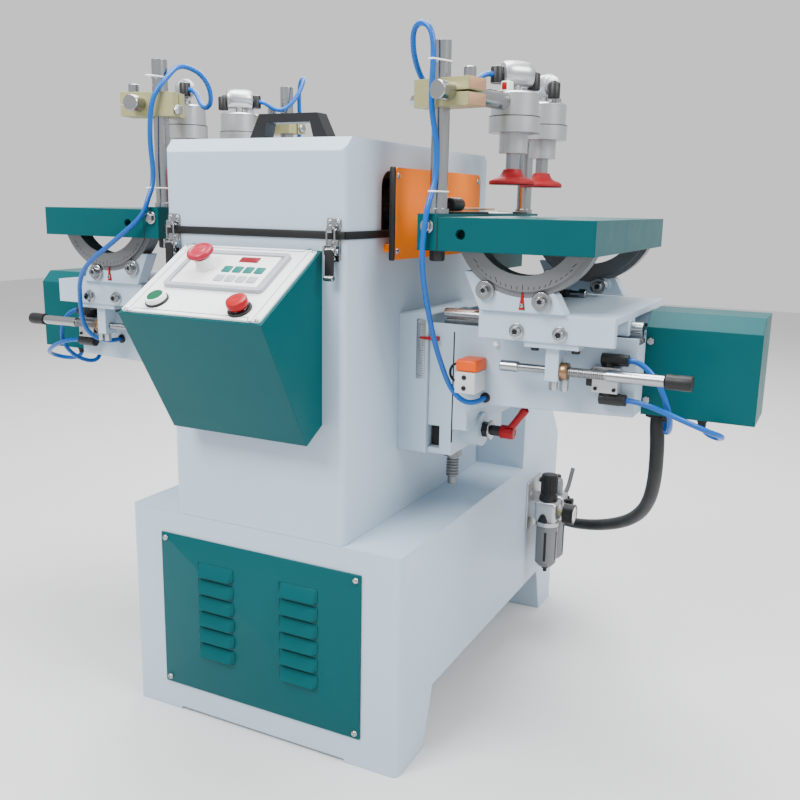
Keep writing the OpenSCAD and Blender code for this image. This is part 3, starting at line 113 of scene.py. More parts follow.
@dataclass(frozen=True)
class Finish:
    """One procedural finish, shared by all the pieces that have it.

    Shade, bump, wear, coat and gloss are strengths from 0 to 1. Fine is the scale of the grain, stretch draws
    the grain out along the axes, and edge is the radius of the softened edges in millimetres.
    """

    name: str
    slot: str
    color: Point
    roughness: float = 0.35
    metallic: float = 0.0
    shade: float = 0.06
    bump: float = 0.04
    fine: float = 900.0
    stretch: Point = (1.0, 1.0, 1.0)
    edge: float = 1.0
    wear: float = 0.25
    coat: float = 0.0
    gloss: float = 0.5
    clear: bool = False
    coat_roughness: ClassVar[float] = 0.12
    clear_share: ClassVar[float] = 0.55
    clear_index: ClassVar[float] = 1.45
    cloud_scale: ClassVar[float] = 6.0
    smear_scale: ClassVar[float] = 23.0
    smear_range: ClassVar[tuple[float, float]] = (0.8, 1.25)
    relief_depth: ClassVar[float] = 0.0006
    worn_tone: ClassVar[float] = 1.35
    edge_range: ClassVar[tuple[float, float]] = (0.995, 0.8)

    def material(self) -> bpy.types.Material:
        """Build the node material on first use.

        Returns:
            The material, the same one on each call.
        """
        known = bpy.data.materials.get(self.name)
        if known:
            return known
        made = bpy.data.materials.new(self.name)
        made.use_nodes = True
        tree = made.node_tree
        shader = tree.nodes["Principled BSDF"]
        shader.inputs["Metallic"].default_value = self.metallic
        shader.inputs["Specular IOR Level"].default_value = self.gloss
        shader.inputs["Coat Weight"].default_value = self.coat
        shader.inputs["Coat Roughness"].default_value = self.coat_roughness
        if self.clear:
            shader.inputs["Transmission Weight"].default_value = self.clear_share
            shader.inputs["IOR"].default_value = self.clear_index
        place = tree.nodes.new("ShaderNodeTexCoord").outputs["Object"]
        cloud = self._noise(tree, place, self.cloud_scale, 3.0)
        speck = self._noise(tree, self._stretched(tree, place), self.fine, 2.0)
        edge = self._edge(tree)
        tone = self._mixed(tree, cloud, self._scaled(1.0 - self.shade), self._scaled(1.0 + self.shade))
        rubbed = self._product(tree, edge["mask"], self.wear)
        worn = self._mixed(tree, rubbed, tone, self._scaled(self.worn_tone))
        tree.links.new(worn, shader.inputs["Base Color"])
        tree.links.new(self._smeared(tree, place), shader.inputs["Roughness"])
        relief = tree.nodes.new("ShaderNodeBump")
        relief.inputs["Strength"].default_value = self.bump
        relief.inputs["Distance"].default_value = self.relief_depth
        tree.links.new(speck, relief.inputs["Height"])
        tree.links.new(edge["normal"], relief.inputs["Normal"])
        tree.links.new(relief.outputs["Normal"], shader.inputs["Normal"])
        return made

    def _smeared(self, tree: Tree, place: Socket) -> Socket:
        """Roughness that varies a little over the surface.

        Args:
            tree: The material's nodes.
            place: Object coordinates.

        Returns:
            The roughness.
        """
        low, high = self.smear_range
        spread = tree.nodes.new("ShaderNodeMapRange")
        spread.inputs["To Min"].default_value = self.roughness * low
        spread.inputs["To Max"].default_value = min(1.0, self.roughness * high)
        tree.links.new(self._noise(tree, place, self.smear_scale, 4.0), spread.inputs["Value"])
        return spread.outputs["Result"]

    def _scaled(self, share: float) -> Color:
        """The base colour made darker or lighter by a share."""
        return (*(min(1.0, c * share) for c in self.color), 1.0)

    def _stretched(self, tree: Tree, place: Socket) -> Socket:
        """Object coordinates drawn out along the direction of grinding or moulding.

        Args:
            tree: The material's nodes.
            place: Object coordinates.

        Returns:
            The stretched coordinates.
        """
        turn = tree.nodes.new("ShaderNodeMapping")
        turn.inputs["Scale"].default_value = self.stretch
        tree.links.new(place, turn.inputs["Vector"])
        return turn.outputs["Vector"]

    @staticmethod
    def _noise(tree: Tree, place: Socket, scale: float, detail: float) -> Socket:
        """Noise of one scale over the surface.

        Args:
            tree: The material's nodes.
            place: Coordinates that it follows.
            scale: Its fineness.
            detail: Its layers.

        Returns:
            The noise, from 0 to 1.
        """
        noise = tree.nodes.new("ShaderNodeTexNoise")
        noise.inputs["Scale"].default_value = scale
        noise.inputs["Detail"].default_value = detail
        tree.links.new(place, noise.inputs["Vector"])
        return noise.outputs["Fac"]

    @staticmethod
    def _mixed(tree: Tree, share: Socket, low: Socket | Color, high: Socket | Color) -> Socket:
        """Colour between two colours or sockets.

        Args:
            tree: The material's nodes.
            share: Share of the second colour, which varies over the surface.
            low: First colour.
            high: Second colour.

        Returns:
            The mixed colour.
        """
        mix = tree.nodes.new("ShaderNodeMix")
        mix.data_type = "RGBA"
        tree.links.new(share, mix.inputs[0])
        for place, given in ((6, low), (7, high)):
            if isinstance(given, tuple):
                mix.inputs[place].default_value = given
            else:
                tree.links.new(given, mix.inputs[place])
        return mix.outputs[2]

    @staticmethod
    def _product(tree: Tree, value: Socket, share: float) -> Socket:
        """A varying value times a fixed share.

        Args:
            tree: The material's nodes.
            value: The value.
            share: The share.

        Returns:
            The product.
        """
        times = tree.nodes.new("ShaderNodeMath")
        times.operation = "MULTIPLY"
        tree.links.new(value, times.inputs[0])
        times.inputs[1].default_value = share
        return times.outputs[0]

    def _edge(self, tree: Tree) -> dict[str, Socket]:
        """Softened edges: the rounded normal, and a mask that is 1 on a corner.

        Args:
            tree: The material's nodes.

        Returns:
            The sockets "normal" and "mask".
        """
        flat_at, corner_at = self.edge_range
        round_over = tree.nodes.new("ShaderNodeBevel")
        round_over.samples = 4
        round_over.inputs["Radius"].default_value = self.edge * MM
        flat = tree.nodes.new("ShaderNodeNewGeometry")
        dot = tree.nodes.new("ShaderNodeVectorMath")
        dot.operation = "DOT_PRODUCT"
        tree.links.new(round_over.outputs["Normal"], dot.inputs[0])
        tree.links.new(flat.outputs["Normal"], dot.inputs[1])
        mask = tree.nodes.new("ShaderNodeMapRange")
        mask.inputs["From Min"].default_value = flat_at
        mask.inputs["From Max"].default_value = corner_at
        tree.links.new(dot.outputs["Value"], mask.inputs["Value"])
        return {"normal": round_over.outputs["Normal"], "mask": mask.outputs["Result"]}


CASING = Finish(
    "casing_enamel", "casing_paint", (0.405, 0.505, 0.60),
    roughness=0.38, shade=0.03, edge=3.0, wear=0.2, gloss=0.35,
)
TEAL = Finish(
    "teal_enamel", "teal_paint", (0.0, 0.068, 0.077),
    roughness=0.34, shade=0.08, edge=2.0, wear=0.3, gloss=0.12,
)
PLATE = Finish("plate_white", "panel_plate", (0.84, 0.86, 0.88), roughness=0.3, shade=0.02, wear=0.05)
GREY = Finish("grey_moulding", "grey_plastic", (0.34, 0.37, 0.40), roughness=0.45)
PALE = Finish("pale_moulding", "grey_plastic", (0.52, 0.535, 0.54), roughness=0.4, shade=0.04)
WHITE = Finish("white_nylon", "panel_plate", (0.84, 0.84, 0.84), roughness=0.4, shade=0.03)
SMOKED = Finish("smoked_bowl", "grey_plastic", (0.30, 0.31, 0.32), roughness=0.12, shade=0.05, clear=True)
HOSE = Finish("grey_hose", "grey_plastic", (0.07, 0.073, 0.078), roughness=0.5, gloss=0.3)
RED = Finish("red_moulding", "red_plastic", (0.30, 0.0, 0.004), roughness=0.3, gloss=0.25)
ROSE = Finish("rose_moulding", "red_plastic", (0.34, 0.006, 0.03), roughness=0.28, coat=0.15, gloss=0.3)
MAROON = Finish("maroon_window", "red_plastic", (0.22, 0.012, 0.02), roughness=0.2, gloss=0.3)
GREEN = Finish("green_moulding", "green_plastic", (0.0, 0.09, 0.04), roughness=0.3, gloss=0.25)
KEY = Finish("teal_key_film", "green_plastic", (0.0, 0.135, 0.115), roughness=0.4, gloss=0.25)
BLACK = Finish(
    "black_moulding", "black_plastic", (0.010, 0.010, 0.011),
    roughness=0.42, shade=0.2, gloss=0.3,
)
OXIDE = Finish(
    "black_oxide", "black_plastic", (0.016, 0.016, 0.018),
    roughness=0.34, metallic=0.3, shade=0.15, gloss=0.35,
)
RUBBER = Finish(
    "black_rubber_skin", "black_rubber", (0.008, 0.0085, 0.009),
    roughness=0.5, shade=0.25, gloss=0.3,
)
ORANGE = Finish(
    "orange_guard_sheet", "orange_guard", (0.92, 0.19, 0.0), roughness=0.4, shade=0.05, gloss=0.12
)
STEEL = Finish(
    "ground_steel", "bright_steel", (0.36, 0.37, 0.38),
    roughness=0.22, metallic=1.0, shade=0.05, bump=0.05, fine=700.0, stretch=(1.0, 1.0, 12.0), edge=0.8,
)
WORN = Finish(
    "dull_steel", "bright_steel", (0.17, 0.175, 0.18),
    roughness=0.4, metallic=0.8, shade=0.2, bump=0.1, fine=500.0,
)
RING = Finish(
    "grey_ring", "bright_steel", (0.15, 0.157, 0.165),
    roughness=0.42, metallic=0.4, shade=0.1, bump=0.08,
)
ALLOY = Finish(
    "cast_alloy_skin", "cast_alloy", (0.47, 0.48, 0.49),
    roughness=0.34, metallic=0.85, bump=0.1, fine=1400.0,
)
MOTOR = Finish("motor_enamel", "motor_paint", (0.10, 0.13, 0.16), roughness=0.45)
BRASS = Finish(
    "zinc_passivate", "brass_plate", (0.36, 0.345, 0.17),
    roughness=0.4, metallic=0.5, shade=0.16, bump=0.08, fine=500.0,
)
COPPER = Finish(
    "sawn_end", "brass_plate", (0.44, 0.25, 0.145),
    roughness=0.42, metallic=0.4, shade=0.12, bump=0.12, fine=500.0,
)
BRONZE = Finish(
    "turned_bronze", "brass_plate", (0.27, 0.165, 0.085),
    roughness=0.3, metallic=0.85, shade=0.1, bump=0.06, fine=600.0,
)
CORAL = Finish("coral_cap", "orange_guard", (0.72, 0.085, 0.0), roughness=0.35, gloss=0.2)
PAD = Finish("red_pad_rubber", "red_pad", (0.27, 0.008, 0.012), roughness=0.5, gloss=0.2)
BLUE = Finish(
    "blue_air_tube", "blue_tube", (0.0, 0.085, 0.36),
    roughness=0.25, bump=0.008, wear=0.0, gloss=0.3,
)
PAPER = Finish("floor_paper", "", (0.66, 0.66, 0.66), roughness=0.8, shade=0.01, wear=0.0)

SLOT_FINISH: dict[str, Finish] = {
    finish.slot: finish
    for finish in (
        CASING, TEAL, PLATE, GREY, RED, GREEN, BLACK, RUBBER, ORANGE, STEEL, ALLOY, MOTOR, BRASS, PAD, BLUE,
    )
}
NODE_FINISH: dict[str, Finish] = {"air_bowls": SMOKED, "segments_left": RING, "segments_right": RING}


class Bench:
    """Modelling moves made with Blender's own operators, in millimetres, before a piece is put in place."""

    @staticmethod
    def alone(piece: Piece | None = None) -> None:
        """Deselect everything, then select one piece if there is one."""
        bpy.ops.object.select_all(action="DESELECT")
        if piece:
            piece.select_set(True)
            bpy.context.view_layer.objects.active = piece

    @staticmethod
    def named(name: str) -> Piece:
        """Give the new active object, and its mesh, their name.

        Args:
            name: The name.

        Returns:
            The active object.
        """
        piece = bpy.context.object
        piece.name = piece.data.name = name
        return piece

    @staticmethod
    def edit() -> None:
        """Start to edit the active piece, with all of it selected."""
        bpy.ops.object.mode_set(mode="EDIT")
        bpy.ops.mesh.select_all(action="SELECT")

    @staticmethod
    def smooth(angle: float = SMOOTH) -> None:
        """Stop editing, and shade faces that meet at less than an angle as one."""
        bpy.ops.object.mode_set(mode="OBJECT")
        bpy.ops.object.shade_smooth_by_angle(angle=angle)

    @staticmethod
    def lift(height: float) -> None:
        """Draw the selected faces or edges out along Z."""
        bpy.ops.mesh.extrude_region_move(TRANSFORM_OT_translate={"value": (0.0, 0.0, height)})

    @staticmethod
    def cube(name: str, low: Point, high: Point) -> Piece:
        """A sharp-edged box between two corners.

        Args:
            name: Name of the piece.
            low: Lowest corner.
            high: Highest corner.

        Returns:
            The piece, in millimetres.
        """
        Bench.alone()
        size = [h - l for l, h in zip(low, high)]
        middle = [(h + l) / 2 for l, h in zip(low, high)]
        bpy.ops.mesh.primitive_cube_add(size=1.0, location=middle, scale=size)
        piece = Bench.named(name)
        bpy.ops.object.transform_apply(location=True, rotation=True, scale=True)
        return piece

    @staticmethod
    def block(name: str, low: Point, high: Point, round_over: float = 1.0, steps: int = 2) -> Piece:
        """A box between two corners, with its edges rounded over.

        Args:
            name: Name of the piece.
            low: Lowest corner.
            high: Highest corner.
            round_over: Radius of the rounded edges.
            steps: Facets across each rounded edge.

        Returns:
            The piece, in millimetres.
        """
        piece = Bench.cube(name, low, high)
        Bench.edit()
        bpy.ops.mesh.bevel(offset=round_over, segments=steps, affect="EDGES", clamp_overlap=True)
        Bench.smooth()
        return piece

    @staticmethod
    def _drawn_up(name: str, profile: Profile, sides: int, fill: str) -> Piece:
        """A circle drawn up ring by ring, left in edit mode with all of it selected.

        Args:
            name: Name of the piece.
            profile: Radius and height of each ring.
            sides: Facets round the axis.
            fill: How the first ring is filled, in Blender's words.

        Returns:
            The piece, in millimetres.
        """
        Bench.alone()
        radius, height = profile[0]
        bpy.ops.mesh.primitive_circle_add(
            vertices=sides, radius=radius, fill_type=fill, location=(0.0, 0.0, height)
        )
        piece = Bench.named(name)
        bpy.ops.object.transform_apply(location=True, rotation=True, scale=True)
        Bench.edit()
        for wide, high in profile[1:]:
            Bench.lift(high - height)
            share = wide / radius
            bpy.ops.transform.resize(value=(share, share, 1.0), center_override=(0.0, 0.0, high))
            radius, height = wide, high
        bpy.ops.mesh.select_all(action="SELECT")
        return piece

    @staticmethod
    def turned(name: str, profile: Profile, sides: int = 32) -> Piece:
        """A solid turned about Z.

        Args:
            name: Name of the piece.
            profile: Radius and height of each ring, from the bottom up.
            sides: Facets round the axis.

        Returns:
            The piece, in millimetres.
        """
        piece = Bench._drawn_up(name, profile, sides, "NGON")
        bpy.ops.mesh.normals_make_consistent(inside=False)
        Bench.smooth()
        return piece

    @staticmethod
    def ring(name: str, profile: Profile, sides: int = 32) -> Piece:
        """A ring turned about Z from a closed section.

        Args:
            name: Name of the piece.
            profile: Radius and height of each corner of the section, in order.
            sides: Facets round the axis.

        Returns:
            The piece, in millimetres.
        """
        piece = Bench._drawn_up(name, (*profile, profile[0]), sides, "NOTHING")
        bpy.ops.mesh.remove_doubles(threshold=0.01)
        bpy.ops.mesh.normals_make_consistent(inside=False)
        Bench.smooth()
        return piece

    @staticmethod
    def plate(
        name: str, width: float, length: float, thick: float, corner: float = 2.0,
        rim: float = 0.0, well: float = 0.0, taper: float = 1.0,
    ) -> Piece:
        """A flat plate with rounded corners, its foot at height 0 and its middle on Z.

        Args:
            name: Name of the piece.
            width: Size along X.
            length: Size along Y.
            thick: Height.
            corner: Radius of the corners.
            rim: Width of a raised rim, or 0.
            well: Depth inside that rim.
            taper: Width of the far end as a share of the near end's.

        Returns:
            The piece, in millimetres.
        """
        Bench.alone()
        bpy.ops.mesh.primitive_plane_add(size=1.0)
        piece = Bench.named(name)
        piece.scale = (width, length, 1.0)
        bpy.ops.object.transform_apply(location=True, rotation=True, scale=True)
        for end in piece.data.vertices:
            if end.co.y > 0:
                end.co.x *= taper
        Bench.edit()
        bpy.ops.mesh.bevel(offset=corner, segments=4, affect="VERTICES", clamp_overlap=True)
        Bench.lift(thick)
        if rim:
            bpy.ops.mesh.inset(thickness=rim)
            Bench.lift(-well)
        bpy.ops.object.mode_set(mode="OBJECT")
        round_over = piece.modifiers.new("round_over", "BEVEL")
        round_over.width = min(thick / 4, 0.8)
        round_over.segments = 2
        round_over.limit_method = "ANGLE"
        bpy.ops.object.modifier_apply(modifier=round_over.name)
        bpy.ops.object.shade_smooth_by_angle(angle=PLATE_SMOOTH)
        return piece

    @staticmethod
    def hooded(name: str, wide: float, tall: float, deep: float) -> Piece:
        """A pressed louvre: flush along its top edge, open and proud along its lower edge.

        Args:
            name: Name of the piece.
            wide: Size along X.
            tall: Size along Y, from the lower edge up.
            deep: How far the lower edge stands out.

        Returns:
            The piece, in millimetres.
        """
        flush, round_over = 0.6, 2.4
        piece = Bench.cube(name, (-wide / 2, 0.0, 0.0), (wide / 2, tall, deep))
        for corner in piece.data.vertices:
            if corner.co.z > deep / 2:
                corner.co.x *= 1 - deep / wide
                corner.co.z = flush if corner.co.y > tall / 2 else deep
        Bench.edit()
        bpy.ops.mesh.bevel(offset=round_over, segments=4, affect="EDGES", clamp_overlap=True)
        Bench.smooth()
        return piece

    @staticmethod
    def head(name: str, radius: float, height: float, shape: Profile, sides: int) -> Piece:
        """A screw's head, its foot at height 0, from rings given as shares of its radius and height."""
        return Bench.turned(name, [(radius * r, height * h) for r, h in shape], sides)

    @staticmethod
    def cap_screw(name: str, radius: float, height: float) -> Piece:
        """A cap screw's head with its socket."""
        return Bench.head(name, radius, height, [(1, 0), (1, 0.85), (0.88, 1), (0.55, 1), (0.55, 0.3)], 20)

    @staticmethod
    def dome_screw(name: str, radius: float, height: float) -> Piece:
        """A round-headed screw with a small drive recess."""
        shape = [(1, 0), (0.95, 0.4), (0.72, 0.82), (0.36, 1), (0.3, 1), (0.2, 0.7)]
        return Bench.head(name, radius, height, shape, 20)

    @staticmethod
    def hex_bolt(name: str, radius: float, height: float) -> Piece:
        """A hexagon head with its corners chamfered."""
        return Bench.head(name, radius, height, [(1, 0), (1, 0.85), (0.86, 1)], 6)

    @staticmethod
    def thread(radius: float, low: float, high: float, pitch: float) -> list[tuple[float, float]]:
        """The ridged profile of a screw thread.

        Args:
            radius: Radius over the ridges.
            low: Height of its lower end.
            high: Height of its upper end.
            pitch: Height of each ridge.

        Returns:
            Radius and height of each ring.
        """
        root = radius * 0.84
        ridge = ((root, 0.0), (radius, 0.3), (radius, 0.6), (root, 0.9))
        return [(r, low + i * pitch + h * pitch) for i in range(int((high - low) / pitch)) for r, h in ridge]

    @staticmethod
    def settle(piece: Piece, place: Matrix) -> Piece:
        """Put a piece in place and leave its place in its mesh.

        Args:
            piece: The piece, about the origin.
            place: Where it goes.

        Returns:
            The same piece, with its object back at the origin.
        """
        piece.matrix_world = place
        Bench.alone(piece)
        bpy.ops.object.transform_apply(location=True, rotation=True, scale=True)
        Bench.edit()
        bpy.ops.mesh.normals_make_consistent(inside=False)
        bpy.ops.object.mode_set(mode="OBJECT")
        return piece

    @staticmethod
    def copy(piece: Piece, name: str) -> Piece:
        """A copy of a piece with a mesh of its own.

        Args:
            piece: The piece.
            name: The copy's name.

        Returns:
            The copy.
        """
        twin = piece.copy()
        twin.data = piece.data.copy()
        twin.name = twin.data.name = name
        bpy.context.scene.collection.objects.link(twin)
        return twin

    @staticmethod
    def spread(piece: Piece, name: str, places: Sequence[Matrix]) -> Piece:
        """Copies of one small shape, set at several places and joined as one piece.

        Args:
            piece: The shape, about the origin; it is used up.
            name: Name of the joined piece.
            places: Where each copy goes.

        Returns:
            The joined piece.
        """
        made = [Bench.settle(Bench.copy(piece, f"{name}_{i}"), place) for i, place in enumerate(places)]
        bpy.data.objects.remove(piece, do_unlink=True)
        return Bench.joined(name, made)

    @staticmethod
    def joined(name: str, pieces: Sequence[Piece]) -> Piece:
        """Several pieces of one finish as one object.

        Args:
            name: Name of the joined piece.
            pieces: The pieces.

        Returns:
            The joined piece.
        """
        Bench.alone(pieces[0])
        for piece in pieces:
            piece.select_set(True)
        if len(pieces) > 1:
            bpy.ops.object.join()
        return Bench.named(name)

    @staticmethod
    def flowing(points: Sequence[Point], steps: int = CURVE_STEPS, passes: int = 3) -> list[Vector]:
        """A smooth line through given points.

        Args:
            points: The points, in millimetres.
            steps: Stretches that the line has between each two.
            passes: Times that the line is eased between its ends.

        Returns:
            The line's points, in millimetres.
        """
        ends = [Vector(p) for p in points]
        line: list[Vector] = []
        for i in range(len(ends) - 1):
            a, b = ends[i], ends[i + 1]
            before = ends[i - 1] if i else a - (b - a)
            after = ends[i + 2] if i + 2 < len(ends) else b + (b - a)
            for k in range(steps):
                t = k / steps
                squared = (2 * before - 5 * a + 4 * b - after) * t**2
                cubed = (3 * a - before - 3 * b + after) * t**3
                line.append(0.5 * (2 * a + (b - before) * t + squared + cubed))
        line.append(ends[-1])
        for _ in range(passes):
            line[2:-2] = [(a + 2 * b + c) / 4 for a, b, c in zip(line[1:-3], line[2:-2], line[3:-1])]
        return line

    @staticmethod
    def tube(name: str, line: Sequence[Vector], radius: float, sides: int = 4) -> Piece:
        """A round tube along a line, as a closed mesh.

        Args:
            name: Name of the piece.
            line: The centre line's points.
            radius: The tube's outer radius.
            sides: Resolution of the round section.

        Returns:
            The piece.
        """
        Bench.alone()
        curve = bpy.data.curves.new(name, "CURVE")
        curve.dimensions = "3D"
        curve.bevel_depth = radius
        curve.bevel_resolution = sides
        curve.use_fill_caps = True
        spline = curve.splines.new("POLY")
        spline.points.add(len(line) - 1)
        for knot, place in zip(spline.points, line):
            knot.co = (*place, 1.0)
        piece = bpy.data.objects.new(name, curve)
        bpy.context.scene.collection.objects.link(piece)
        Bench.alone(piece)
        bpy.ops.object.convert(target="MESH")
        piece = Bench.named(name)
        bpy.ops.object.shade_smooth_by_angle(angle=SMOOTH)
        return piece


def dress(piece: Piece, finish: Finish, body: str, *stands_for: str) -> Piece:
    """Give a finished piece its material and the body that it rides on.

    Args:
        piece: The piece, in place.
        finish: Its finish.
        body: The CAD body that carries it.
        stands_for: CAD nodes that it replaces.

    Returns:
        The same piece.
    """
    piece.data.materials.clear()
    piece.data.materials.append(finish.material())
    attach(piece, body)
    if stands_for:
        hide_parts(*stands_for)
    LOG.info("%s rides on %s in %s", piece.name, body, finish.name)
    return piece


@dataclass
class Studio:
    """Camera at the photograph's angle, soft light and a pale floor."""

    eye: Point = (0.7817, -1.3811, 0.8443)
    yaw: float = 0.463
    pitch: float = -0.214
    roll: float = 0.019
    lens: float = 40.6
    sensor: float = 36.0
    floor_size: float = 14.0
    sky: float = 0.9
    # Name, place, aim, width in metres and watts of each lamp.
    light_plan: ClassVar[tuple[tuple[str, Point, Point, float, float], ...]] = (
        ("overhead_light", (0.0, 0.1, 2.5), (0.0, 0.0, 0.8), 1.3, 80.0),
        ("front_light", (-0.8, -2.6, 3.3), (0.0, 0.0, 0.6), 1.6, 195.0),
        ("side_light", (2.9, -0.5, 2.9), (0.0, 0.0, 0.6), 1.6, 125.0),
        ("back_light", (-1.4, 3.0, 2.6), (0.0, 0.0, 0.6), 1.8, 80.0),
    )

    def build(self) -> None:
        """Add the floor, the world's light, the lamps and the camera."""
        Bench.alone()
        bpy.ops.mesh.primitive_plane_add(size=self.floor_size, location=(0.0, 0.0, 0.0))
        floor = Bench.named("studio_floor")
        floor.data.materials.append(PAPER.material())
        world = bpy.data.worlds.new("studio_world")
        bpy.context.scene.world = world
        world.use_nodes = True
        back = world.node_tree.nodes["Background"]
        back.inputs["Color"].default_value = (1.0, 1.0, 1.0, 1.0)
        back.inputs["Strength"].default_value = self.sky
        for name, place, aim, size, power in self.light_plan:
            self._lamp(name, Vector(place), Vector(aim), size, power)
        self._camera()

    @staticmethod
    def _lamp(name: str, place: Vector, aim: Vector, size: float, power: float) -> None:
        """One soft square lamp, turned to what it lights.

        Args:
            name: Name of the lamp.
            place: Where it hangs, in metres.
            aim: Point that it is turned to.
            size: Width of the square.
            power: Its watts.
        """
        lamp = bpy.data.lights.new(name, "AREA")
        lamp.size = size
        lamp.energy = power
        stand = bpy.data.objects.new(name, lamp)
        stand.location = place
        stand.rotation_euler = (aim - place).to_track_quat("-Z", "Y").to_euler()
        bpy.context.scene.collection.objects.link(stand)

    def _camera(self) -> None:
        """The camera, from the solved place, turn and lens."""
        ahead = Vector(
            (
                -math.sin(self.yaw) * math.cos(self.pitch),
                math.cos(self.yaw) * math.cos(self.pitch),
                math.sin(self.pitch),
            )
        )
        right = Vector((math.cos(self.yaw), math.sin(self.yaw), 0.0))
        up = right.cross(ahead)
        across = math.cos(self.roll) * right + math.sin(self.roll) * up
        above = math.cos(self.roll) * up - math.sin(self.roll) * right
        turn = Matrix((across, above, -ahead)).transposed().to_4x4()
        view = bpy.data.cameras.new("photo_camera")
        view.lens = self.lens
        view.sensor_width = self.sensor
        view.sensor_fit = "HORIZONTAL"
        camera = bpy.data.objects.new("photo_camera", view)
        camera.matrix_world = Matrix.Translation(self.eye) @ turn
        bpy.context.scene.collection.objects.link(camera)
        bpy.context.scene.camera = camera


@dataclass
class SolidSkins:
    """Finishes of the CAD nodes, which show wherever no piece replaces them."""

    def dress(self) -> None:
        """Put each node's finish in its material slots."""
        for part in frame["record"]["subparts"]:
            node = frame["nodes"][part["node"]]
            skin = NODE_FINISH.get(part["node"], SLOT_FINISH[part["material_slot"]]).material()
            if not node.material_slots:
                node.data.materials.append(skin)
            for place in node.material_slots:
                place.material = skin
            LOG.info("%s shows in %s", part["node"], skin.name)


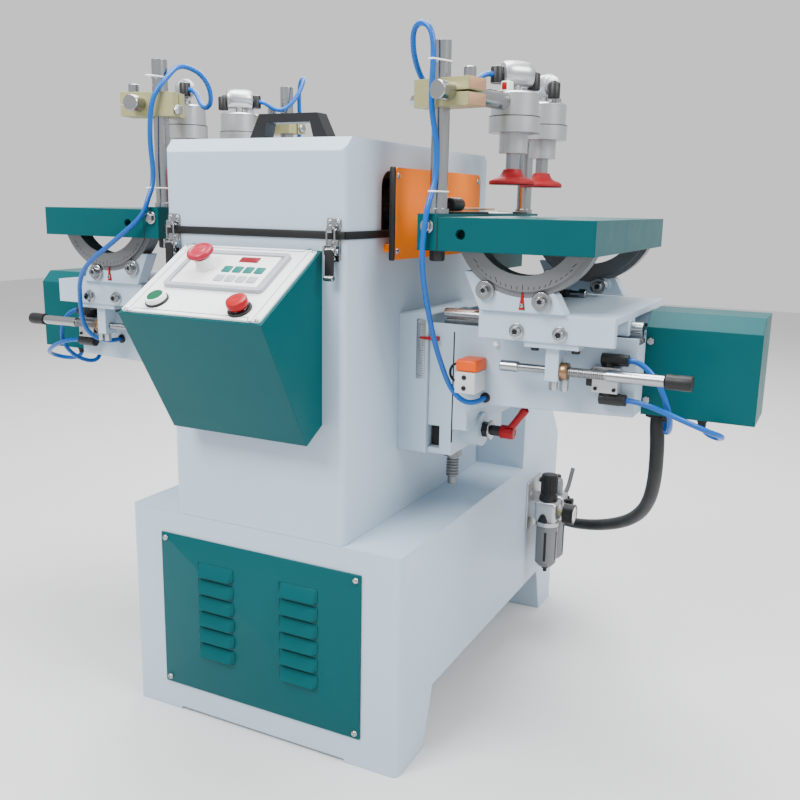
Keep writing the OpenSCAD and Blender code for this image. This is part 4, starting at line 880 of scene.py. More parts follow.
@dataclass
class Hoses:
    """The blue air tubes of both halves and the black supply conduit."""

    tube_d: float = 8.0
    conduit_d: float = 22.0
    # Routes drawn on the right half, in millimetres.
    conduit: ClassVar[tuple[Point, ...]] = (
        (540, 270, 551), (540, 270, 540), (540, 270, 526), (541, 276, 500), (539, 292, 466), (533, 322, 426),
        (520, 366, 380), (498, 418, 338), (466, 476, 300), (428, 534, 268), (386, 590, 240),
        (340, 644, 216), (306, 680, 203), (284, 696, 200), (268, 696, 200), (250, 696, 200),
    )
    right_post: ClassVar[tuple[Point, ...]] = (
        (281.1, 201.8, 1029), (276.6, 194, 1029), (269, 181, 1022), (259, 164, 1008), (245, 151, 998),
        (229, 142, 995), (214, 134, 1003), (206, 121, 1019), (203, 107, 1041), (206, 94, 1062),
        (213, 84.5, 1076.5), (225, 79, 1081.5), (237, 77, 1076.5), (244, 75.5, 1062), (246, 75, 1042),
        (246.5, 73, 1018), (246, 72, 992), (247, 73, 965), (250, 80, 935), (252, 82, 900), (251, 77, 870),
        (249, 64, 846), (247, 60, 822), (244, 58, 785), (242, 66, 750), (242, 80, 712), (243, 96, 675),
        (245, 112, 640), (249, 128, 608), (256, 139, 581), (266, 146, 564), (279, 149, 556), (290, 152, 556),
        (297.5, 159, 558), (300, 168, 560), (300, 176, 560),
    )
    # Where a run leaves its table and where it meets its carriage.
    right_post_joints: ClassVar[tuple[Point, Point]] = ((247, 60, 822), (245, 112, 640))
    left_post: ClassVar[tuple[Point, ...]] = (
        (276.6, 209.6, 1029), (269, 209.4, 1028), (260.5, 208, 1022), (252.5, 205, 1011), (243.5, 201, 1001),
        (231.5, 197, 996.5), (219.5, 192.5, 1001.5), (213, 187, 1014), (212.5, 179, 1032), (219, 164, 1049),
        (230, 141, 1056), (229, 118, 1049), (225, 98, 1036), (229, 81, 1019), (238, 73, 998), (243, 72, 970),
        (246, 73, 945), (248, 76, 920), (248, 79, 895), (247, 76, 866), (247, 64, 846), (250, 58, 826),
        (264, 53, 808), (296, 49, 785), (330, 49, 763), (364, 53, 744), (394, 62, 724), (420, 77, 700),
        (438, 93, 673), (449, 105, 644), (450, 112, 618), (441, 124, 599), (428, 142, 591), (424, 156, 590),
        (424, 166, 590), (424, 176, 590),
    )
    left_post_joints: ClassVar[tuple[Point, Point]] = ((250, 58, 826), (438, 93, 673))
    left_rear: ClassVar[tuple[Point, ...]] = (
        (270.4, 407.6, 1029), (263, 408, 1028), (255, 411, 1023.5), (246.5, 417.5, 1017), (237, 425, 1015),
        (228, 433.5, 1019), (220.5, 443.5, 1030), (215, 454, 1045), (212.5, 464, 1060), (214.5, 474, 1074.5),
        (222.5, 483, 1078.2), (231, 489.5, 1073.8), (236.5, 493, 1060), (238.5, 495, 1040), (238, 496, 1012),
        (238, 496, 985), (240, 494, 960), (246, 488, 930), (250, 486, 900), (250, 488, 868), (249, 500, 846),
        (248, 506, 822), (246, 507, 790), (246, 500, 756), (250, 482, 722), (256, 460, 686), (264, 438, 650),
        (271.5, 433, 633), (278, 426, 618), (281.5, 417, 609), (282, 408, 606), (282, 400, 606),
    )
    left_rear_joints: ClassVar[tuple[Point, Point]] = ((246, 507, 790), (264, 438, 650))
    valve: ClassVar[tuple[Point, ...]] = (
        (514, 163, 638), (524, 163, 638), (540, 161, 630), (556, 161, 612), (567, 166, 588),
        (572, 178, 564), (571, 196, 545), (566, 216, 532.5), (560.5, 231, 528), (557.3, 242.5, 529.5),
        (556, 250, 537.5), (556, 252, 551),
    )
    back_feed: ClassVar[tuple[Point, ...]] = (
        (514, 163, 582), (524, 163, 582), (546, 160, 579), (574, 161, 570), (602, 170, 558),
        (626, 186, 546), (639, 208, 537), (637, 228, 529.5), (627, 241.5, 526.5), (614.5, 249, 529),
        (607, 252, 537.5), (606, 252, 551),
    )

    def build(self) -> None:
        """Make every tube, with the stretches that cross a joint as separate pieces."""
        self._table_run("post_tube", Side.RIGHT, self.right_post, *self.right_post_joints)
        self._table_run("post_tube", Side.LEFT, self.left_post, *self.left_post_joints)
        self._table_run("rear_tube", Side.LEFT, self.left_rear, *self.left_rear_joints)
        for side in Side:
            for name, route in (("valve_tube", self.valve), ("back_feed_tube", self.back_feed)):
                line = self._line(side, route)
                piece = Bench.tube(side.of(name), line, self.tube_d / 2 * MM)
                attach(piece, side.of("arm"))
                self.declare(piece, line, self.tube_d, BLUE)
        line = self._line(Side.RIGHT, self.conduit)
        piece = Bench.tube("supply_conduit", line, self.conduit_d / 2 * MM)
        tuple(line[-1])
        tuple(line[0])
        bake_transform(piece)
        self.declare(piece, line, self.conduit_d, RUBBER, "stiff")
        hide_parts("conduit")

    def _table_run(self, name: str, side: Side, route: Sequence[Point], leaves: Point, meets: Point) -> None:
        """A tube from a clamp cylinder down to the arm, in three stretches.

        Args:
            name: Name of the run.
            side: The half that it is on.
            route: Its points.
            leaves: Point of the route where it leaves the table.
            meets: Point of the route where it meets the carriage.
        """
        run = self._line(side, route)
        first, second = (route.index(p) * CURVE_STEPS for p in (leaves, meets))
        table, carriage, arm = side.of("table"), side.of("carriage"), side.of("arm")
        line = run[: first + 1]
        upper = Bench.tube(side.of(f"{name}_upper"), line, self.tube_d / 2 * MM)
        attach(upper, table)
        self.declare(upper, line, self.tube_d, BLUE)
        if name == "post_tube":
            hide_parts(side.of("air_tubes"))
        for part, bodies, line in (
            ("middle", (table, carriage), run[first : second + 1]),
            ("lower", (carriage, arm), run[second:]),
        ):
            piece = Bench.tube(side.of(f"{name}_{part}"), line, self.tube_d / 2 * MM)
            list(bodies)
            line[0]
            line[-1]
            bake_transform(piece)
            self.declare(piece, line, self.tube_d, BLUE)

    @staticmethod
    def _line(side: Side, route: Sequence[Point]) -> list[Vector]:
        """Centre line in metres on one half, from a route on the right half."""
        return [side.frame @ p for p in Bench.flowing(route)]

    @staticmethod
    def declare(
        piece: Piece, line: Sequence[Vector], across: float, finish: Finish,
        stiff: str = "medium", end: str = "object",
    ) -> None:
        """Give a tube its finish and log its length.

        Args:
            piece: The tube.
            line: Its centre line, in metres.
            across: Its diameter, in millimetres; not used.
            finish: Its finish.
        """
        piece.data.materials.append(finish.material())
        length = sum((b - a).length for a, b in zip(line, line[1:]))
        LOG.info("%s is %.3f m long", piece.name, length)


@dataclass
class ControlPanel:
    """Counter, keys, display and push buttons on the sloping box."""

    slope: float = 30.906
    ridge: float = 779.0
    plate_top: float = 3.0
    # On the slope, in this order: place across, place down from the ridge, width and length.
    counter: ClassVar[tuple[float, float, float, float]] = (2.0, 67.0, 166.0, 88.0)
    counter_h: float = 6.0
    well: float = 2.4
    membrane: ClassVar[tuple[float, float]] = (146.0, 72.0)
    membrane_h: float = 0.6
    membrane_shift: float = -2.0
    key: float = 14.4
    key_pitch: float = 18.2
    key_x: float = 2.2
    key_rows: ClassVar[tuple[tuple[float, str], ...]] = ((65.6, "green"), (87.1, "pale"))
    keys_a_row: int = 4
    window: ClassVar[tuple[float, float, float, float]] = (26.0, 41.5, 32.0, 12.0)
    window_h: float = 0.8
    figures: int = 4
    figure_pitch: float = 7.0
    # How far a figure's upright bars stand from its middle, across and along.
    figure: ClassVar[tuple[float, float]] = (2.1, 1.8)
    # Half width, upper edge, lower edge and corner radius.
    border: ClassVar[tuple[float, float, float, float]] = (103.0, 9.0, 161.0, 8.0)
    border_d: float = 1.0
    corner_steps: int = 6
    estop: ClassVar[tuple[float, float]] = (-37.0, 62.0)
    start: ClassVar[tuple[float, float]] = (-69.0, 142.0)
    stop: ClassVar[tuple[float, float]] = (73.0, 147.0)
    screw_xs: ClassVar[tuple[float, float]] = (-108.0, 110.0)
    screw_drops: ClassVar[tuple[float, float]] = (7.0, 165.0)

    @property
    def well_floor(self) -> float:
        """Height of the floor of the counter's well above the box."""
        return self.plate_top + self.counter_h - self.well

    @property
    def membrane_top(self) -> float:
        """Height of the membrane's face above the box."""
        return self.well_floor + self.membrane_h

    def _on(self, x: float, s: float, h: float = 0.0) -> Matrix:
        """Place on the slope: across, down from the ridge and above the box."""
        tilt = Matrix.Rotation(math.radians(self.slope), 4, "X")
        return HOME @ Matrix.Translation((0.0, 0.0, self.ridge)) @ tilt @ Matrix.Translation((x, -s, h))

    def build(self) -> None:
        """Model everything on the panel."""
        self._counter()
        self._keys()
        self._display()
        self._border()
        self._buttons()
        screw = Bench.dome_screw("panel_screw", 3.4, 1.8)
        corners = [self._on(x, s, self.plate_top) for x in self.screw_xs for s in self.screw_drops]
        dress(Bench.spread(screw, "panel_screws", corners), STEEL, "base")

    def _counter(self) -> None:
        """The counter's moulded case and the membrane in its well."""
        x, s, wide, long = self.counter
        case = Bench.plate("counter_case", wide, long, self.counter_h, 6.0, 7.0, self.well)
        dress(Bench.settle(case, self._on(x, s, self.plate_top)), GREY, "base", "counter_unit")
        film = Bench.plate("counter_membrane", *self.membrane, self.membrane_h, 3.0)
        dress(Bench.settle(film, self._on(x + self.membrane_shift, s, self.well_floor)), WHITE, "base")

    def _keys(self) -> None:
        """Two rows of soft keys."""
        for s, kind in self.key_rows:
            key = Bench.plate(f"{kind}_key", self.key, self.key, 1.0, 2.2)
            xs = [self.key_x + i * self.key_pitch for i in range(self.keys_a_row)]
            row = [self._on(x, s, self.membrane_top) for x in xs]
            dress(Bench.spread(key, f"{kind}_keys", row), KEY if kind == "green" else GREY, "base")

    def _display(self) -> None:
        """The dark red window and its four unlit figures."""
        x, s, wide, long = self.window
        pane = Bench.plate("display_window", wide, long, self.window_h, 1.0)
        dress(Bench.settle(pane, self._on(x, s, self.membrane_top)), MAROON, "base")
        bar = Bench.block("figure_bar", (-1.6, -0.35, 0.0), (1.6, 0.35, 0.3), 0.1, 1)
        side, half = self.figure
        face = self.membrane_top + self.window_h
        upright = Matrix.Rotation(math.pi / 2, 4, "Z")
        bars = []
        for i in range(self.figures):
            middle = x + (i - (self.figures - 1) / 2) * self.figure_pitch
            bars += [self._on(middle, s + d, face) for d in (-2 * half, 0.0, 2 * half)]
            corners = [(middle + a, s + d) for a in (-side, side) for d in (-half, half)]
            bars += [self._on(*corner, face) @ upright for corner in corners]
        dress(Bench.spread(bar, "display_figures", bars), RED, "base")

    def _border(self) -> None:
        """The fine line round the plate, drawn in at its corners."""
        half, top, low, corner = self.border
        line: list[Vector] = []
        for x, s, start in ((half, top, 180), (half, low, 270), (-half, low, 0), (-half, top, 90)):
            for step in range(self.corner_steps + 1):
                a = math.radians(start - step * 90 / self.corner_steps)
                place = self._on(x + corner * math.cos(a), s + corner * math.sin(-a), self.plate_top)
                line.append(place @ Vector())
        line.append(line[0])
        dress(Bench.tube("panel_border", line, self.border_d / 2 * MM, 1), TEAL, "base")

    def _buttons(self) -> None:
        """The emergency stop, the stop button's head, and the collars of the push buttons."""
        high = self.plate_top + self.counter_h
        sleeve = [(10.4, -2), (13.6, -2), (13.6, 2), (12.2, 4), (12.2, 14.2), (10.4, 14.2)]
        collar = Bench.ring("estop_collar", [(r, high + h) for r, h in sleeve], 40)
        dress(Bench.settle(collar, self._on(*self.estop)), WHITE, "base")
        rim = [(9.8, 3), (9.8, 18.6), (17.6, 19), (19.2, 20.6), (19.2, 23.4), (18.2, 25.6), (16.4, 26.8)]
        dish = [(14.6, 26.8), (13, 25.6), (11.8, 25.4), (9, 26.6), (5, 27.4), (3, 27.5)]
        head = Bench.turned("estop_head", [(r, high + h) for r, h in (*rim, *dish)], 48)
        dress(Bench.settle(head, self._on(*self.estop)), ROSE, "estop", "estop_button")
        ring = [(11.3, 3.0), (15.0, 3.0), (15.0, 12.6), (14.2, 13.6), (12.2, 13.6), (11.3, 12.8)]
        dress(Bench.settle(Bench.ring("start_ring", ring, 40), self._on(*self.start)), WHITE, "base")
        base = [(11.3, 3.0), (16.8, 3.0), (16.8, 5.4), (15.8, 6.4), (11.3, 6.4)]
        for name, place in (("start", self.start), ("stop", self.stop)):
            dress(Bench.settle(Bench.ring(f"{name}_collar", base, 40), self._on(*place)), BLACK, "base")
        stem = [(10.8, 7.2), (10.8, 10.4)]
        cap = [(13.6, 10.6), (14.8, 11.6), (14.8, 18), (14, 20), (11.5, 21), (5, 21.4), (4, 21.2)]
        head = Bench.turned("stop_head", [*stem, *cap], 40)
        dress(Bench.settle(head, self._on(*self.stop)), RED, "stop", "stop_button")


@dataclass
class Latches:
    """The toggle latches that hold the hood down in front."""

    x: float = 139.0
    half: float = 11.0
    foot_h: float = 30.0
    foot_thick: float = 3.0
    ear_x: float = 9.5
    ear_half: float = 1.3
    pivot_y: float = -10.0
    pivot_z: float = 780.0
    hood_z: float = 805.0
    keeper_thick: float = 2.2
    wire: float = 2.8

    def build(self) -> None:
        """Model both latches, with their keepers on the hood."""
        feet: list[Piece] = []
        for side in Side:
            feet += self._foot(side)
            self._lever(side)
            self._keeper(side)
        dress(Bench.joined("latch_feet", feet), STEEL, "base", "latch_bases")

    def _foot(self, side: Side) -> list[Piece]:
        """Back plate, ears, pin and screws of one latch.

        Args:
            side: The half that it is on.

        Returns:
            The pieces, in place but not dressed.
        """
        x, z = self.x, self.pivot_z
        plate = Bench.plate(side.of("latch_plate"), 2 * self.half, self.foot_h, self.foot_thick, 3)
        made = [Bench.settle(plate, side.frame @ spot(x, 0, z, Facing.FRONT))]
        for edge in (-1, 1):
            middle = x + edge * self.ear_x
            low, high = (middle - self.ear_half, -15, z - 6), (middle + self.ear_half, -2, z + 7)
            made.append(Bench.settle(Bench.block(side.of("latch_ear"), low, high, 1.0), side.frame))
        pin = Bench.turned(side.of("latch_pin"), [(2.6, -12.2), (2.9, -11.6), (2.9, 11.6), (2.6, 12.2)], 16)
        made.append(Bench.settle(pin, side.frame @ spot(x, self.pivot_y, z, Facing.OUT)))
        screw = Bench.dome_screw(side.of("latch_screw"), 3.2, 2.0)
        reach = self.foot_h / 2 - 4.5
        places = [side.frame @ spot(x, -self.foot_thick, z + d, Facing.FRONT) for d in (-reach, reach)]
        made.append(Bench.spread(screw, side.of("latch_screws"), places))
        return made

    def _lever(self, side: Side) -> None:
        """The strap with its rolled end, and the wire bail that hangs in the hood's keeper.

        Args:
            side: The half that it is on.
        """
        x, y, z = self.x, self.pivot_y, self.pivot_z
        strap = Bench.plate(side.of("latch_strap"), 14, 40, 2.4, 4)
        strap = Bench.settle(strap, side.frame @ spot(x, y - 3, z - 18, Facing.FRONT))
        roll = Bench.turned(side.of("roll"), [(3.4, -7.4), (4.2, -6.4), (4.2, 6.4), (3.4, 7.4)], 16)
        roll = Bench.settle(roll, side.frame @ spot(x, y - 5, z - 37, Facing.OUT))
        hub = Bench.turned(side.of("hub"), [(4.4, -7.4), (5, -6.8), (5, 6.8), (4.4, 7.4)], 20)
        hub = Bench.settle(hub, side.frame @ spot(x, y, z, Facing.OUT))
        half = [(6.2, -1, 6.6), (6.2, -1, 14), (6.2, -1, 26), (4.6, -1, 30.5)]
        bail = [(-a, b, c) for a, b, c in half] + [(0, -1, 32)] + half[::-1]
        line = [side.frame @ (p + Vector((x, y, z))) for p in Bench.flowing(bail)]
        dress(Bench.tube(side.of("latch_bail"), line, self.wire / 2 * MM, 2), STEEL, "hood")
        body = side.of("latch")
        dress(strap, OXIDE, body)
        dress(Bench.joined(side.of("latch_toggle"), [hub, roll]), STEEL, body, side.of("latch_lever"))

    def _keeper(self, side: Side) -> None:
        """The hooked keeper on the hood, with its two screws.

        Args:
            side: The half that it is on.
        """
        x, z = self.x, self.hood_z
        base = Bench.plate(side.of("keeper_plate"), 2 * self.half, 17, self.keeper_thick, 3)
        base = Bench.settle(base, side.frame @ spot(x, 0, z + 10.5, Facing.FRONT))
        hook = Bench.block(side.of("hook"), (x - 4, -14.5, z - 1.5), (x + 4, -1, z + 3.5), 1.6)
        lip = Bench.block(side.of("lip"), (x - 4, -15.5, z - 1), (x + 4, -12.8, z + 10), 1.2)
        screw = Bench.dome_screw(side.of("keeper_screw"), 3.0, 1.8)
        places = [side.frame @ spot(x + d, -self.keeper_thick, z + 14, Facing.FRONT) for d in (-6.6, 6.6)]
        made = [base, Bench.settle(hook, side.frame), Bench.settle(lip, side.frame)]
        made.append(Bench.spread(screw, side.of("keeper_screws"), places))
        dress(Bench.joined(side.of("keeper"), made), STEEL, "hood")


@dataclass
class Casing:
    """The fixed casing's louvred panel, edge trims, rear sheets, glands and screws."""

    sheet: float = 3.0
    louvre_x: float = 178.0
    louvre_zs: ClassVar[tuple[float, float]] = (57.0, 305.0)
    # Width, height and lower edge.
    panel: ClassVar[tuple[float, float, float]] = (374.0, 266.0, 48.0)
    # Place across, lowest height, pitch and rows of the louvres, and the size of one.
    louvres: ClassVar[tuple[float, float, float, int]] = (78.0, 115.0, 28.0, 6)
    louvre: ClassVar[Point] = (70.0, 21.0, 9.5)
    guard_x: float = 184.0
    guard_ys: ClassVar[tuple[float, float]] = (89.0, 414.0)
    guard_zs: ClassVar[tuple[float, float]] = (765.0, 895.0)
    guard_inset: float = 12.0
    trim_xs: ClassVar[tuple[float, float]] = (177.0, 186.0)
    lip_zs: ClassVar[tuple[float, float]] = (795.2, 806.2)
    lip_proud: float = 3.0
    lip_far: float = 470.0
    handle: ClassVar[Point] = (60.0, 109.0, 932.0)
    column_hw: float = 155.0
    column_back: float = 523.0
    cabinet_back: float = 753.0
    # Width, height and the middle's height.
    door: ClassVar[Point] = (330.0, 250.0, 190.0)
    cover: ClassVar[Point] = (210.0, 170.0, 660.0)
    rear_gap: float = 5.0
    rear_inset: float = 14.0
    # Lowest height, pitch and count.
    slots: ClassVar[tuple[float, float, int]] = (200.0, 16.0, 6)
    lock_x: float = 140.0
    gland: ClassVar[tuple[float, float]] = (-205.0, 92.0)

    def build(self) -> None:
        """Model the small fittings of the casing."""
        self._louvre_screws()
        for side in Side:
            self._guard(side)
        self._conduit_glands()
        self._louvres()
        self._gasket()
        self._rear_panel("door", *self.door, self.cabinet_back)
        self._rear_panel("cover", *self.cover, self.column_back)
        self._door_fittings()
        foot = Bench.plate("handle_foot", 30, 26, 3.0, 4)
        x, y, z = self.handle
        dress(Bench.spread(foot, "handle_feet", [HOME @ spot(s * x, y, z) for s in (-1, 1)]), BLACK, "hood")

    def _louvre_screws(self) -> None:
        """The four screws of the front panel."""
        screw = Bench.dome_screw("louvre_screw", 5.2, 3.4)
        corners = [(s * self.louvre_x, z) for s in (-1, 1) for z in self.louvre_zs]
        places = [HOME @ spot(x, -self.sheet, z, Facing.FRONT) for x, z in corners]
        dress(Bench.spread(screw, "louvre_screws", places), STEEL, "base")

    def _guard(self, side: Side) -> None:
        """The rubber trim and the screws of one orange guard.

        Args:
            side: The half that it is on.
        """
        (x0, x1), (y0, y1), (z0, z1) = self.trim_xs, self.guard_ys, self.guard_zs
        trim = Bench.block(side.of("guard_trim"), (x0, y0 - 3, z0 - 1), (x1, y0 + 2.5, z1 + 1), 2.2)
        dress(Bench.settle(trim, side.frame), RUBBER, "base")
        bolt = Bench.dome_screw(side.of("guard_screw"), 4.4, 2.4)
        inset = self.guard_inset
        corners = [(y, z) for y in (y0 + inset, y1 - inset) for z in (z0 + inset, z1 - inset)]
        places = [side.frame @ spot(self.guard_x, y, z, Facing.OUT) for y, z in corners]
        dress(Bench.spread(bolt, side.of("guard_screws"), places), STEEL, "base")

    def _conduit_glands(self) -> None:
        """The nuts at the two ends of the supply conduit."""
        high, *_, low = Hoses.conduit
        nut = Bench.hex_bolt("conduit_gland_high", 19.0, 11.0)
        twin = Bench.copy(nut, "conduit_gland_low")
        dress(Bench.settle(twin, HOME @ spot(*low, Facing.OUT)), BLACK, "base")
        dress(Bench.settle(nut, HOME @ spot(*high, Facing.DOWN)), BLACK, "arm_right")

    def _louvres(self) -> None:
        """The front panel's sheet, its pressed louvres, and dark strips below them: the open slits and the
        painted shade that the louvres cast.
        """
        wide, long, low = self.panel
        sheet = Bench.plate("louvre_sheet", wide, long, self.sheet, 1.5)
        place = HOME @ spot(0, 0, low + long / 2, Facing.FRONT)
        dress(Bench.settle(sheet, place), TEAL, "base", "louvre_panel")
        x, z, pitch, rows = self.louvres
        corners = [(s * x, z + i * pitch) for s in (-1, 1) for i in range(rows)]
        places = [HOME @ spot(across, -self.sheet, high, Facing.FRONT) for across, high in corners]
        dress(Bench.spread(Bench.hooded("louvre", *self.louvre), "louvre_hoods", places), TEAL, "base")
        # Dark strips under the louvres: partly the open slits, partly painted shade cast by the louvres.
        slit = Bench.block("louvre_slit", (-32, -3.4, -0.4), (32, 1, 0.4), 0.2, 1)
        dress(Bench.spread(slit, "louvre_slits", places), RUBBER, "base")

    def _gasket(self) -> None:
        """The lip of the hood's seal, which stands out in front and at the sides."""
        low, high = self.lip_zs
        proud, half, far = self.lip_proud, self.column_hw, self.lip_far
        strips = [Bench.block("lip_front", (-half - proud, -proud, low), (half + proud, -0.1, high), 1.2)]
        for s in (-1, 1):
            inner, outer = sorted((s * (half + 0.1), s * (half + proud)))
            strips.append(Bench.block("lip_side", (inner, -proud, low), (outer, far, high), 1.2))
        dress(Bench.settle(Bench.joined("seal_lip", strips), HOME), RUBBER, "base")

    def _rear_panel(self, name: str, wide: float, long: float, z: float, y: float) -> None:
        """A plain sheet on the back, with the dark gap round it and its screws.

        Args:
            name: Its name, after "rear".
            wide: Its width.
            long: Its height.
            z: Height of its middle.
            y: The wall that it lies on.
        """
        gap = Bench.plate(f"rear_{name}_gap", wide + self.rear_gap, long + self.rear_gap, 0.5, 10)
        dress(Bench.settle(gap, HOME @ spot(0, y, z, Facing.BACK)), RUBBER, "base")
        sheet = Bench.plate(f"rear_{name}", wide, long, self.sheet, 9)
        dress(Bench.settle(sheet, HOME @ spot(0, y, z, Facing.BACK)), CASING, "base")
        across, up = wide / 2 - self.rear_inset, long / 2 - self.rear_inset
        corners = [(s * across, z + d * up) for s in (-1, 1) for d in (-1, 1)]
        places = [HOME @ spot(x, y + self.sheet, high, Facing.BACK) for x, high in corners]
        screw = Bench.dome_screw(f"rear_{name}_screw", 5, 3)
        dress(Bench.spread(screw, f"rear_{name}_screws", places), STEEL, "base")

    def _door_fittings(self) -> None:
        """The door's pressed slots and lock, and the mains gland beside it."""
        y = self.cabinet_back
        slot = Bench.block("door_slot", (-45, -2.5, 3.0), (45, 2.5, 5.4), 1.6)
        low, pitch, rows = self.slots
        places = [HOME @ spot(0, y, low + i * pitch, Facing.BACK) for i in range(rows)]
        dress(Bench.spread(slot, "door_slots", places), CASING, "base")
        lock = Bench.turned("door_lock", [(12, 3), (12, 6), (10.6, 8), (5, 8.4), (4.6, 6)], 32)
        dress(Bench.settle(lock, HOME @ spot(self.lock_x, y, self.door[2], Facing.BACK)), BLACK, "base")
        x, z = self.gland
        shape = [(15, 0), (15, 5), (11.5, 6), (11.5, 10.4), (9, 12), (8.4, 10)]
        gland = Bench.turned("mains_gland", shape, 24)
        dress(Bench.settle(gland, HOME @ spot(x, y, z, Facing.BACK)), BLACK, "base")


@dataclass
class AirSet:
    """The air preparation unit: bodies, bracket, knob, gauge, bowl fittings and tail."""

    x: float = 290.0
    ys: ClassVar[tuple[float, float]] = (569.0, 619.0)
    low: float = 238.0
    top: float = 281.0
    # Radius of the dial and the place of its face.
    gauge: ClassVar[tuple[float, float]] = (19.0, 342.0)
    needle_turn: float = 40.0
    ribs: int = 18
    half: float = 22.0
    wall: float = 250.0
    bracket: ClassVar[Point] = (100.0, 87.5, 264.25)
    bracket_thick: float = 4.0
    bowl_r: float = 21.0
    bowl_low: float = 143.0
    slit_turns: ClassVar[tuple[float, ...]] = (10.0, 80.0, 170.0, 260.0)
    tail_reach: float = 30.0
    tail_bend: float = 60.0
    tail_rise: int = 50
    tail_d: float = 9.0

    @property
    def middle(self) -> float:
        """Height of the middle of the two bodies."""
        return (self.low + self.top) / 2

    def build(self) -> None:
        """Model the unit and its fittings."""
        y0, y1 = self.ys
        self._bodies()
        self._bracket()
        self._knob(y0)
        self._gauge(y0)
        self._oiler(y1)
        self._bowls()
        screw = Bench.cap_screw("unit_screw", 3.2, 2.6)
        corners = [(y1 + d, self.low + h) for d in (-13, 13) for h in (9, 34)]
        places = [HOME @ spot(self.x + self.half, y, z, Facing.OUT) for y, z in corners]
        dress(Bench.spread(screw, "unit_screws", places), OXIDE, "base")
        self._tail(y1)

    def _bodies(self) -> None:
        """The two rounded bodies, the spacer between them and the saddle behind them."""
        y0, y1 = self.ys
        x0, x1, low, top = self.x - self.half, self.x + self.half, self.low, self.top
        spans = [((x0, y - self.half, low), (x1, y + self.half, top)) for y in self.ys]
        made = [Bench.block("unit_body", *span, 8.0, 4) for span in spans]
        made.append(Bench.block("unit_spacer", (x0 + 9, y0, low + 9), (x1 - 9, y1, top - 9), 3.0))
        made.append(
            Bench.block("unit_saddle", (self.wall + 3, y0 - 11, low + 4), (x0 + 10, y1 + 11, top - 4), 3.0)
        )
        dress(Bench.settle(Bench.joined("air_bodies", made), HOME), ALLOY, "base", "air_unit")

    def _bracket(self) -> None:
        """The wall bracket with its screws, and the shield and nozzle on the bodies."""
        y0, y1 = self.ys
        wide, long, z = self.bracket
        sheet = Bench.plate("air_bracket", wide, long, self.bracket_thick, 6)
        place = HOME @ spot(self.wall, (y0 + y1) / 2, z, Facing.OUT)
        dress(Bench.settle(sheet, place), ALLOY, "base")
        screw = Bench.cap_screw("bracket_screw", 5, 5)
        places = [place @ spot(s * 38, 32, self.bracket_thick) for s in (-1, 1)]
        dress(Bench.spread(screw, "air_bracket_screws", places), OXIDE, "base")
        shield = Bench.plate("unit_shield", 22, 17, 2.4, 4, taper=0.35)
        front = HOME @ spot(self.x - 3, y0 - self.half, self.low + 11, Facing.FRONT)
        dress(Bench.settle(shield, front), BLACK, "base")
        nozzle = Bench.turned("unit_nozzle", [(5, 0), (5, 5), (7.4, 6), (7.4, 13), (6, 14)], 24)
        outside = HOME @ spot(self.x + self.half, y1, self.top - 13, Facing.OUT)
        dress(Bench.settle(nozzle, outside), BLACK, "base")

    def _knob(self, y: float) -> None:
        """The regulator's ribbed knob.

        Args:
            y: The regulator's place along the unit.
        """
        shape = [(17.5, 0), (18.6, 2), (17.8, 9), (15.4, 13), (15.4, 50), (14.4, 52.4), (11, 53.4), (3, 53.6)]
        knob = Bench.turned("regulator_knob", shape, 40)
        dress(Bench.settle(knob, HOME @ spot(self.x, y, self.top)), BLACK, "base")
        rib = Bench.block("knob_rib", (14.6, -0.8, 16), (16.2, 0.8, 49), 0.4, 1)
        turns = [HOME @ spot(self.x, y, self.top, turn=i * 360 / self.ribs) for i in range(self.ribs)]
        dress(Bench.spread(rib, "regulator_knob_ribs", turns), BLACK, "base")

    def _gauge(self, y: float) -> None:
        """The pressure gauge: case, dial, ticks and needle, facing outwards.

        Args:
            y: The regulator's place along the unit.
        """
        radius, face = self.gauge
        back = [(radius - 2, -20), (radius + 0.6, -19), (radius + 0.8, 1.2)]
        bezel = [(radius - 0.6, 2), (radius - 2, 2), (radius - 2, 0.4)]
        place = HOME @ spot(face, y, self.middle, Facing.OUT)
        dress(Bench.settle(Bench.turned("gauge_case", [*back, *bezel], 48), place), BLACK, "base")
        stem = Bench.turned("gauge_stem", [(6.4, -32), (6.4, -18)], 24)
        dress(Bench.settle(stem, place), BRASS, "base")
        dial = Bench.turned("gauge_dial", [(radius - 2.2, 0), (radius - 2.2, 0.9), (radius - 2.4, 1.0)], 48)
        dress(Bench.settle(dial, place), WHITE, "base")
        tick = Bench.block("gauge_tick", (-0.4, radius - 6.4, 0.9), (0.4, radius - 3.2, 1.2), 0.1, 1)
        turns = [place @ Matrix.Rotation(math.radians(a), 4, "Z") for a in range(-135, 136, 27)]
        dress(Bench.spread(tick, "gauge_ticks", turns), BLACK, "base")
        needle = Bench.plate("gauge_needle", 2.6, 14, 0.5, 0.3, taper=0.2)
        needle = Bench.settle(needle, Matrix.Translation((0.0, 4.5, 1.3)))
        turn = Matrix.Rotation(math.radians(self.needle_turn), 4, "Z")
        dress(Bench.settle(needle, place @ turn), RED, "base")

    def _oiler(self, y: float) -> None:
        """The oiler's sight dome and filling plug.

        Args:
            y: The oiler's place along the unit.
        """
        shape = [(13.4, 0), (13.4, 22), (12, 29), (8, 33.4), (3.4, 34.6), (2.4, 34)]
        dome = Bench.turned("oiler_dome", shape, 32)
        dress(Bench.settle(dome, HOME @ spot(self.x, y, self.top)), SMOKED, "base")
        plug = Bench.turned("oiler_plug", [(7, 0), (7.6, 1), (7.6, 9), (6, 10.6), (2, 11)], 24)
        dress(Bench.settle(plug, HOME @ spot(self.x, y + 4, self.top + 27)), BLACK, "base")

